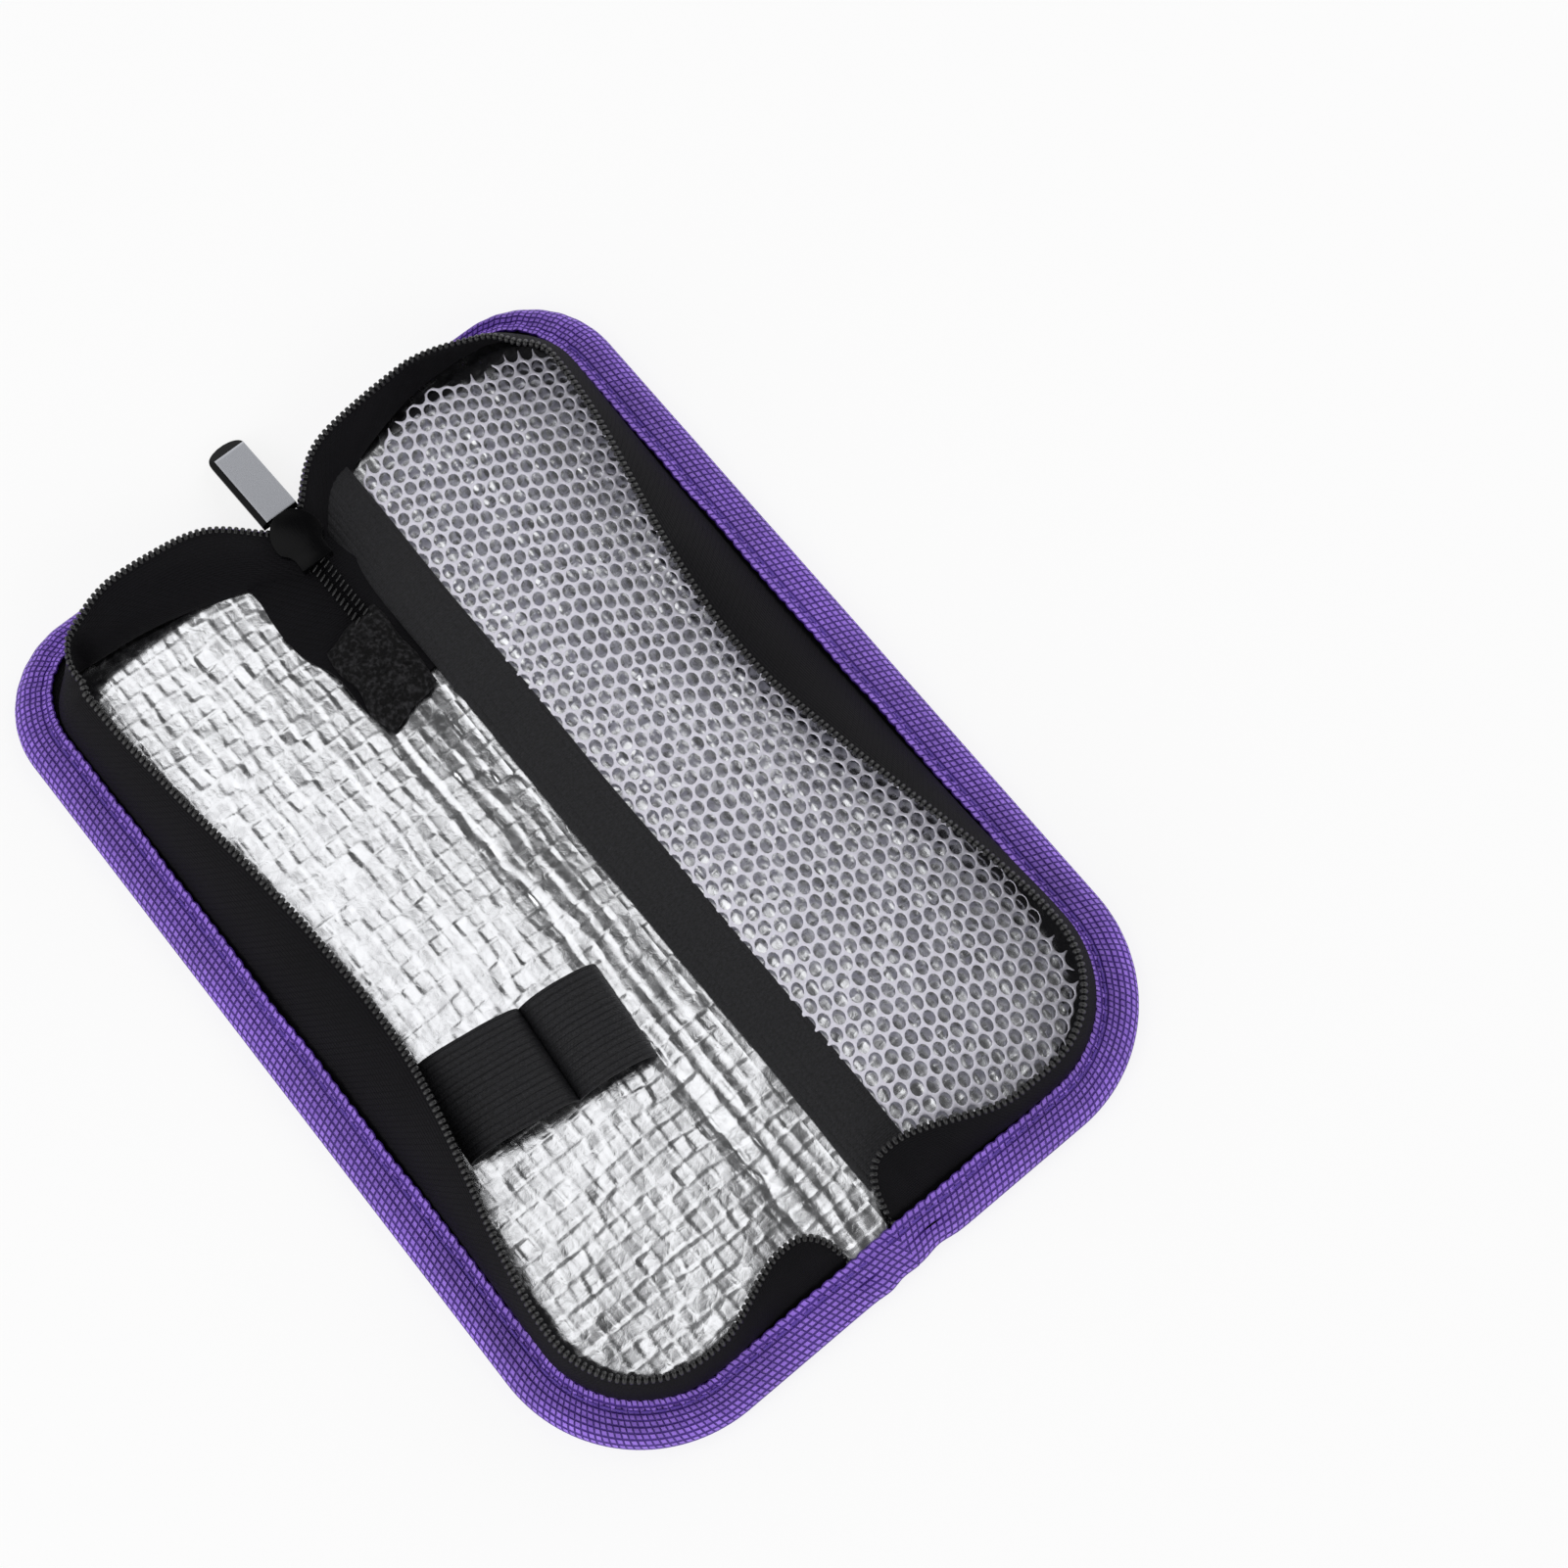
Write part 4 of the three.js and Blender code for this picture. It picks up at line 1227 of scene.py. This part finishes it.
def make_tail_tape(name):
    """Tape of the closed end of the zip, from the end patch up to the slider, spreading out over the foil."""
    low_y, high_y = TAB_LOW[1] + 4, half_length() - 12

    def shape(s, t):
        y = mix(low_y, high_y, t)
        left = mix(10.5, 13.6, smooth(0.1, 0.6, t)) + 0.5 * ripple(y, y * 0, 14, 82)
        across = 2 * s - 1
        x = ZIP_X + np.where(across < 0, across * left, across * 8.4)
        trough = np.abs(across) ** 1.6
        level = np.minimum(tail_level(y), tail_level(high_y - 4)) - 0.35
        z = level - trough * (level - 3.9) + 0.25 * ripple(x, y, 12, 81) * np.abs(across)
        return x, y, np.maximum(z, 3.7)

    length = high_y - low_y
    piece = shaped_grid(name, 36, 60, shape, (21, length))
    thickened(piece, 0.4)
    wear_it(piece, tape_material())
    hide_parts("zip_tail_tape")
    return bend_with_fold(piece, LEFT)


def make_chain(name):
    """Closed coil from the end patch to the slider: two rows of slanted turns that lock together."""
    pitch = sizes().teeth_pitch / MM
    reach = (CHAIN_HIGH[0] - CHAIN_LOW[0]) / 4 + 0.15
    along = np.array([0, 1, TAIL_RISE]) / np.hypot(1, TAIL_RISE)
    origins, axes = [], []
    for side in SIDES.values():
        y = np.arange(CHAIN_LOW[1], CHAIN_HIGH[1] - pitch, pitch) + (pitch / 2 if side == RIGHT else 0)
        origins.append(np.stack([np.full(y.shape, ZIP_X + side * reach), y, tail_level(y) + 0.8], 1))
        across = np.array([1.0, 0.35, -0.18 * side])
        across /= np.linalg.norm(across)
        up = np.cross(across, along)
        axes.append(np.tile(np.stack([across, along, up]), (len(y), 1, 1)))
    places = (np.concatenate(origins), np.concatenate(axes))
    piece = copies_of(capsule(1.75 * reach, 0.7, 1.2), name, places)
    wear_it(piece, coil_material())
    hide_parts("zip_tail_chain")
    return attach(piece, "spine")


def make_end_tab(name):
    """Brushed tape folded and sewn over the end of the zip: a lumpy patch with a ragged outline."""
    low_y, high_y = TAB_LOW[1], TAB_HIGH[1] + 4

    def shape(s, t):
        across = 2 * s - 1
        along = 2 * t - 1
        left = -13.0 + 0.5 * ripple(9 * along, across * 0, 9, 91)
        right = -0.2 + 0.4 * ripple(9 * along, across * 0, 9, 94)
        x = mix(left, right, s)
        y = mix(low_y, high_y, t) + 0.7 * ripple(6 * across, along * 0, 8, 92) + 1.2 * across
        dome = (1 - np.abs(across) ** 5) * (1 - np.abs(along) ** 7)
        lumps = 0.28 * ripple(x, y, 3.4, 93) + 0.18 * ripple(x, y, 1.7, 95)
        z = 3.9 + (TAB_HIGH[2] - 3.6) * dome**0.6 + lumps * dome
        return x, y, np.maximum(z, 3.7)

    piece = shaped_grid(name, 60, 90, shape, (12.8, high_y - low_y))
    thickened(piece, 0.3, 1)
    wear_it(piece, fuzz_material())
    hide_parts("zip_end_tab")
    return bend_with_fold(piece, LEFT)


def make_slider(name):
    """Painted slider with rounded edges, and the two ears of its eye set low under the pull tab."""
    start()
    piece = bpy.data.objects.new(name, frame["nodes"]["zip_slider"].data.copy())
    bpy.context.collection.objects.link(piece)

    def merge():
        bpy.ops.mesh.remove_doubles(threshold=0.002 * MM)
        bpy.ops.mesh.dissolve_limited(angle_limit=radians(1.5))

    edited(piece, merge, face_out)
    rounded(piece, 0.22, 32)
    smoothed(piece, 35)
    _, pivot_y, pivot_z = PULL_PIVOT
    points = points_of(piece) / MM
    beyond = smooth(pivot_y - 1.3, pivot_y - 0.7, points[:, 1])
    points[:, 2] = mix(points[:, 2], pivot_z + 0.4 * (points[:, 2] - pivot_z) - 0.2, beyond)
    put_points(piece, points * MM)
    wear_it(piece, paint_material())
    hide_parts("zip_slider")
    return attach(piece, "slider")


# The plate of the pull tab: its back end behind the pivot, and its sloping tip and side
PLATE_BACK = -0.9
PLATE_TIP = 2.9
TIP_DROP = 0.55
SIDE_SLOPE = 1.3


def make_pull_tab(name):
    """Plated pull tab: a plate with a round sloping tip, one sloping side, and dark paint on its slopes."""
    node = points_of(frame["nodes"]["pull_tab"]) / MM - PULL_PIVOT
    tip = node[node[:, 1] > node[:, 1].max() - 1].mean(0)
    way = np.array([0, tip[1], tip[2]]) / np.hypot(tip[1], tip[2])
    up = np.array([0, -way[2], way[1]])
    length, half, thick = (node @ way).max(), node[:, 0].max(), (node @ up)[node @ way > 4].max()

    def shape(s, t):
        along = mix(PLATE_BACK, length, t)
        past = np.clip((along - length + PLATE_TIP) / PLATE_TIP, 0, 1)
        return (2 * s - 1) * half * np.sqrt(1 - 0.97 * past**2), along, 0 * s

    piece = shaped_grid(name, 20, 60, shape, (2 * half, length))
    applied(piece, "SOLIDIFY", thickness=2 * thick * MM, offset=0)
    edited(piece, face_out)
    rounded(piece, 0.3, 40)
    points = points_of(piece) / MM
    past = np.clip((points[:, 1] - length + PLATE_TIP) / PLATE_TIP, 0, 1)
    aside = np.clip((SIDE_SLOPE - half - points[:, 0]) / SIDE_SLOPE, 0, 1)
    level = points[:, 2] - TIP_DROP * np.maximum(past, 0.8 * aside) * (points[:, 2] > 0)
    axes = np.array([[1, 0, 0], way, up])
    put_points(piece, (PULL_PIVOT + np.stack([points[:, 0], points[:, 1], level], 1) @ axes) * MM)
    smoothed(piece, 25)
    wear_it(piece, plating_material())
    piece.data.materials.append(paint_material())
    for face in piece.data.polygons:
        face.material_index = 0 if face.normal.dot(Vector(up)) > 0.99 else 1
    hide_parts("pull_tab")
    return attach(piece, "pull_tab")


# Pieces: elastic and net


# The band of the loops: share of the wide loop, place of the seam, and how it is sewn askew
WIDE_LOOP = 0.58
LOOP_SEAM = 0.43
BAND_TURN = 0.155
BAND_LEAN = 0.08
BAND_SHIFT = -0.9


def make_loops(name):
    """Ribbed elastic sewn down a little askew in two pen loops, ribs along the band."""
    low, high = LOOPS_LOW, LOOPS_HIGH
    seam = mix(high[0], low[0], LOOP_SEAM)
    rib = sizes().rib_pitch / MM
    middle = (low + high) / 2

    def shape(s, t):
        first = s < WIDE_LOOP
        v = np.where(first, s / WIDE_LOOP, (s - WIDE_LOOP) / (1 - WIDE_LOOP))
        c = -np.cos(pi * v)
        left = np.where(first, low[0] - 1.8, seam)
        right = np.where(first, seam, high[0] + 0.9)
        square = np.where(first, np.where(c < 0, 2.2, 3.0), np.where(c < 0, 1.7, 2.6))
        arch = (1 - np.abs(c) ** square) ** (1 / square)
        x = mix(left, right, (c + 1) / 2)
        sag = 0.5 * np.where(first, 1, 0.3) * np.sin(pi * v) ** 2
        z = low[2] + 0.35 + arch * (high[2] - low[2] - 0.8 - sag)
        y = mix(low[1], high[1], t)
        ribs = 0.3 * np.abs(np.sin(pi * y / rib)) ** 0.7
        turned_x = x + BAND_LEAN * (y - middle[1])
        turned_y = y - BAND_TURN * (x - middle[0]) + BAND_SHIFT
        return turned_x, turned_y, z + ribs * arch**0.5 + 0.1 * ripple(x, y, 9, 101)

    piece = shaped_grid(name, 110, 120, shape, (52, high[1] - low[1]))
    thickened(piece, 0.6)
    wear_it(piece, elastic_material())
    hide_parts("pen_loop_band")
    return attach(piece, "base")


def make_ribbon(name):
    """Ribbed elastic along the pocket's mouth, ribs along the spine, running into the zip at its far end."""
    low = RIBBON_LOW
    left, right = low[0] + 0.1, 12.2
    near_y, far_y = low[1] - 7, half_length() - 6
    rib = sizes().rib_pitch / MM

    def shape(s, t):
        y = mix(near_y, far_y, t)
        x = mix(left, right, s) + 0.35 * ripple(y, y * 0, 70, 111)
        z = low[2] + 0.75 + 0.9 * np.sin(pi * np.clip(s, 0, 1)) ** 0.8 + 0.5 * s
        ribs = 0.14 * np.abs(np.sin(pi * (x - left) / rib)) ** 0.7
        return x, drawn_in(x, y), z + ribs + 0.12 * ripple(x, y, 26, 112) + 0.8 * smooth(73, 89, y)

    length = far_y - near_y
    piece = shaped_grid(name, 90, 160, shape, (right - left, length))
    thickened(piece, 0.55)
    wear_it(piece, elastic_material())
    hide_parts("pocket_ribbon")
    return bend_with_fold(piece, RIGHT)


def make_net(name):
    """Knitted net with round-cornered hexagonal holes, stretched over the foil from ribbon to seam."""
    pitch = sizes().net_pitch / MM
    radius = pitch / 3**0.5
    row = 1.5 * radius
    squeeze = sizes().net_row / MM / row
    skew = 0.147
    left, near = 9.6, -half_length() - 2
    right = half_width() - 10
    start()
    bpy.ops.mesh.primitive_circle_add(vertices=6, radius=radius * MM, fill_type="NGON")
    piece = named(name)
    flat = points_of(piece)
    turned = flat.copy()
    turned[:, 0] = flat[:, 0] * cos(pi / 6) - flat[:, 1] * sin(pi / 6)
    turned[:, 1] = flat[:, 0] * sin(pi / 6) + flat[:, 1] * cos(pi / 6)
    put_points(piece, turned + np.array([left, near, 0]) * MM)

    def punch():
        bpy.ops.mesh.inset(thickness=sizes().net_cord / 2)
        bpy.ops.mesh.delete(type="FACE")

    edited(piece, punch)
    runs = (
        (2, (row, pitch / 2)),
        (int((right - left) / (2 * row * squeeze)) + 1, (2 * row, 0)),
        (int(2 * half_length() / pitch) + 1, (0, pitch)),
    )
    for count, (step_x, step_y) in runs:
        applied(
            piece,
            "ARRAY",
            count=count,
            use_relative_offset=False,
            use_constant_offset=True,
            constant_offset_displace=(step_x * MM, step_y * MM, 0),
        )

    def join_and_trim():
        bpy.ops.mesh.remove_doubles(threshold=0.02 * MM)
        bpy.ops.mesh.select_all(action="DESELECT")
        bpy.ops.object.mode_set(mode="OBJECT")
        points = points_of(piece)
        points[:, 0] = left * MM + (points[:, 0] - left * MM) * squeeze
        points[:, 1] += skew * (points[:, 0] - left * MM)
        put_points(piece, points)
        for face in piece.data.polygons:
            x, y, _ = face.center / MM
            edge = 10.2 - 3.5 * smooth(75, 89, y) * smooth(46, 34, x) + 1.3 * smooth(-50, -75, y)
            face.select = bool(inset_at(x, y) < edge or y - 0.37 * (x - 12.6) > 84.5)
        bpy.ops.object.mode_set(mode="EDIT")
        bpy.ops.mesh.delete(type="FACE")

    edited(piece, join_and_trim)
    applied(piece, "SOLIDIFY", thickness=0.5 * MM, offset=0)
    edited(piece, face_out)
    applied(piece, "SUBSURF", levels=1, render_levels=1)
    points = points_of(piece) / MM
    x, y = points[:, 0], points[:, 1]
    inset = inset_at(x, y)
    across = np.abs((x - (left + right) / 2) / ((right - left) / 2))
    along = np.abs(y / half_length())
    crown = 2.4 * np.clip(1 - across**2, 0, 1) * np.clip(1 - along**4, 0, 1)
    slack = 0.25 * ripple(x, y, 33, 121) * smooth(10, 18, inset)
    points[:, 0] = x + 0.3 * ripple(x, y, 20, 122)
    points[:, 1] = drawn_in(x, y) + 0.3 * ripple(x, y, 20, 123)
    points[:, 2] += FOIL_TOP + 1.0 + crown + slack
    put_points(piece, points * MM)
    smoothed(piece, 60)
    wear_it(piece, net_material())
    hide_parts("net_pocket")
    return bend_with_fold(piece, RIGHT)


# Stage

PHOTO_LENS = 53.45
CAMERA_AT = (-38.4, -106.3, 418.3)
CAMERA_TURN = -39.5
CAMERA_RISE = 74.0
SOFTBOXES = (
    ("top", (-0.22, 0.38, 1.0), (0.56, 0.9), 1.6),
    ("left", (-1.0, -0.1, 0.55), (0.5, 1.2), 4.0),
    ("near", (0.2, -1.1, 0.6), (1.2, 0.5), 2.4),
    ("right", (1.0, 0.25, 0.6), (0.5, 1.2), 3.8),
)


def make_stage():
    """Camera at the photograph's angle, a pale floor, soft boxes with gaps between them and a grey room."""
    scene = bpy.context.scene
    start()
    bpy.ops.object.camera_add(location=[v * MM for v in CAMERA_AT])
    camera = named("camera")
    turn, rise = radians(CAMERA_TURN), radians(CAMERA_RISE)
    back = Vector((sin(turn) * cos(rise), -cos(turn) * cos(rise), sin(rise)))
    camera.rotation_euler = back.to_track_quat("Z", "Y").to_euler()
    camera.data.lens = PHOTO_LENS
    camera.data.sensor_width = 36
    scene.camera = camera
    start()
    bpy.ops.mesh.primitive_plane_add(size=6, location=(0, 0, -0.1 * MM))
    floor = named("floor")
    wear_it(floor, floor_material())
    for name, place, (width, length), power in SOFTBOXES:
        start()
        bpy.ops.object.light_add(type="AREA", location=place)
        lamp = named("softbox_" + name)
        lamp.data.shape = "RECTANGLE"
        lamp.data.size = width
        lamp.data.size_y = length
        lamp.data.energy = power
        lamp.rotation_euler = Vector(place).to_track_quat("Z", "Y").to_euler()
    world = bpy.data.worlds.new("grey_room")
    world.use_nodes = True
    tree = world.node_tree
    tree.nodes.clear()
    way = add_node(tree, "ShaderNodeTexCoord")
    split = add_node(tree, "ShaderNodeSeparateXYZ", {0: way.outputs["Generated"]})
    top = add_node(
        tree,
        "ShaderNodeMapRange",
        {"Value": split.outputs["X"], "From Min": -0.12, "From Max": 0.12, "To Min": 0.3, "To Max": 0.07},
    )
    tone = add_node(
        tree,
        "ShaderNodeMapRange",
        {
            "Value": split.outputs["Z"],
            "From Min": 0.3,
            "From Max": 0.78,
            "To Min": 1.25,
            "To Max": top.outputs[0],
        },
    )
    sky = add_node(tree, "ShaderNodeBackground", {"Color": (1, 1, 1, 1), "Strength": tone.outputs[0]})
    add_node(tree, "ShaderNodeOutputWorld", {"Surface": sky.outputs[0]})
    scene.world = world
    scene.view_settings.view_transform = "Standard"


# Operators


class CASE_OT_stage(Operator):
    """Set the camera, floor and lights"""

    bl_idname = "case.stage"
    bl_label = "Stage"

    def execute(self, context):
        make_stage()
        return {"FINISHED"}


class CASE_OT_cover(Operator):
    """Make the outer cloth of both halves"""

    bl_idname = "case.cover"
    bl_label = "Outer cloth"

    def execute(self, context):
        for word, side in SIDES.items():
            make_cover("cover_" + word, side)
        return {"FINISHED"}


class CASE_OT_foam(Operator):
    """Make the foam pads inside both halves"""

    bl_idname = "case.foam"
    bl_label = "Foam pads"

    def execute(self, context):
        for word, side in SIDES.items():
            make_foam("foam_" + word, side)
        return {"FINISHED"}


class CASE_OT_foil(Operator):
    """Make the foil lining of both halves"""

    bl_idname = "case.foil"
    bl_label = "Foil lining"

    def execute(self, context):
        for word, side in SIDES.items():
            make_foil("foil_" + word, side)
        return {"FINISHED"}


class CASE_OT_binding(Operator):
    """Fold the binding over the edge and sew it down"""

    bl_idname = "case.binding"
    bl_label = "Binding"

    def execute(self, context):
        for word, side in SIDES.items():
            make_binding("binding_" + word, side)
            make_stitches("stitches_inside_" + word, side, 1)
            make_stitches("stitches_back_" + word, side, -1)
        return {"FINISHED"}


class CASE_OT_zip(Operator):
    """Make the zip tapes, their coils and the closed end"""

    bl_idname = "case.zip"
    bl_label = "Zip"

    def execute(self, context):
        for word, side in SIDES.items():
            make_tape("zip_tape_" + word, side)
            make_teeth("zip_coil_" + word, side)
        make_tail_tape("zip_tail_tape_cloth")
        make_chain("zip_chain")
        make_end_tab("zip_end_patch")
        return {"FINISHED"}


class CASE_OT_slider(Operator):
    """Make the slider and its pull tab"""

    bl_idname = "case.slider"
    bl_label = "Slider"

    def execute(self, context):
        make_slider("slider")
        make_pull_tab("slider_pull")
        return {"FINISHED"}


class CASE_OT_elastic(Operator):
    """Make the pen loops and the ribbon of the pocket"""

    bl_idname = "case.elastic"
    bl_label = "Elastic"

    def execute(self, context):
        make_loops("pen_loops")
        make_ribbon("pocket_elastic")
        return {"FINISHED"}


class CASE_OT_net(Operator):
    """Make the net pocket"""

    bl_idname = "case.net"
    bl_label = "Net pocket"

    def execute(self, context):
        make_net("pocket_net")
        return {"FINISHED"}


STEPS = (
    CASE_OT_stage,
    CASE_OT_cover,
    CASE_OT_foam,
    CASE_OT_foil,
    CASE_OT_binding,
    CASE_OT_zip,
    CASE_OT_slider,
    CASE_OT_elastic,
    CASE_OT_net,
)


class CASE_PT_sidebar(Panel):
    """Lists the case's sizes, colours and pieces"""

    bl_idname = "CASE_PT_sidebar"
    bl_label = "Cooling Case"
    bl_space_type = "VIEW_3D"
    bl_region_type = "UI"
    bl_category = "Cooling Case"

    def draw(self, context):
        for group in (context.scene.case_sizes, context.scene.case_colours):
            box = self.layout.box()
            for key in group.__annotations__:
                box.prop(group, key)
        for step in STEPS:
            self.layout.operator(step.bl_idname)


CLASSES = (CaseSizes, CaseColours, *STEPS, CASE_PT_sidebar)


def register():
    for item in CLASSES:
        bpy.utils.register_class(item)
    bpy.types.Scene.case_sizes = PointerProperty(type=CaseSizes)
    bpy.types.Scene.case_colours = PointerProperty(type=CaseColours)


def unregister():
    del bpy.types.Scene.case_colours
    del bpy.types.Scene.case_sizes
    for item in reversed(CLASSES):
        bpy.utils.unregister_class(item)


def main():
    register()
    for step in STEPS:
        group, action = step.bl_idname.split(".")
        getattr(getattr(bpy.ops, group), action)()


if __name__ == "__main__":
    main()
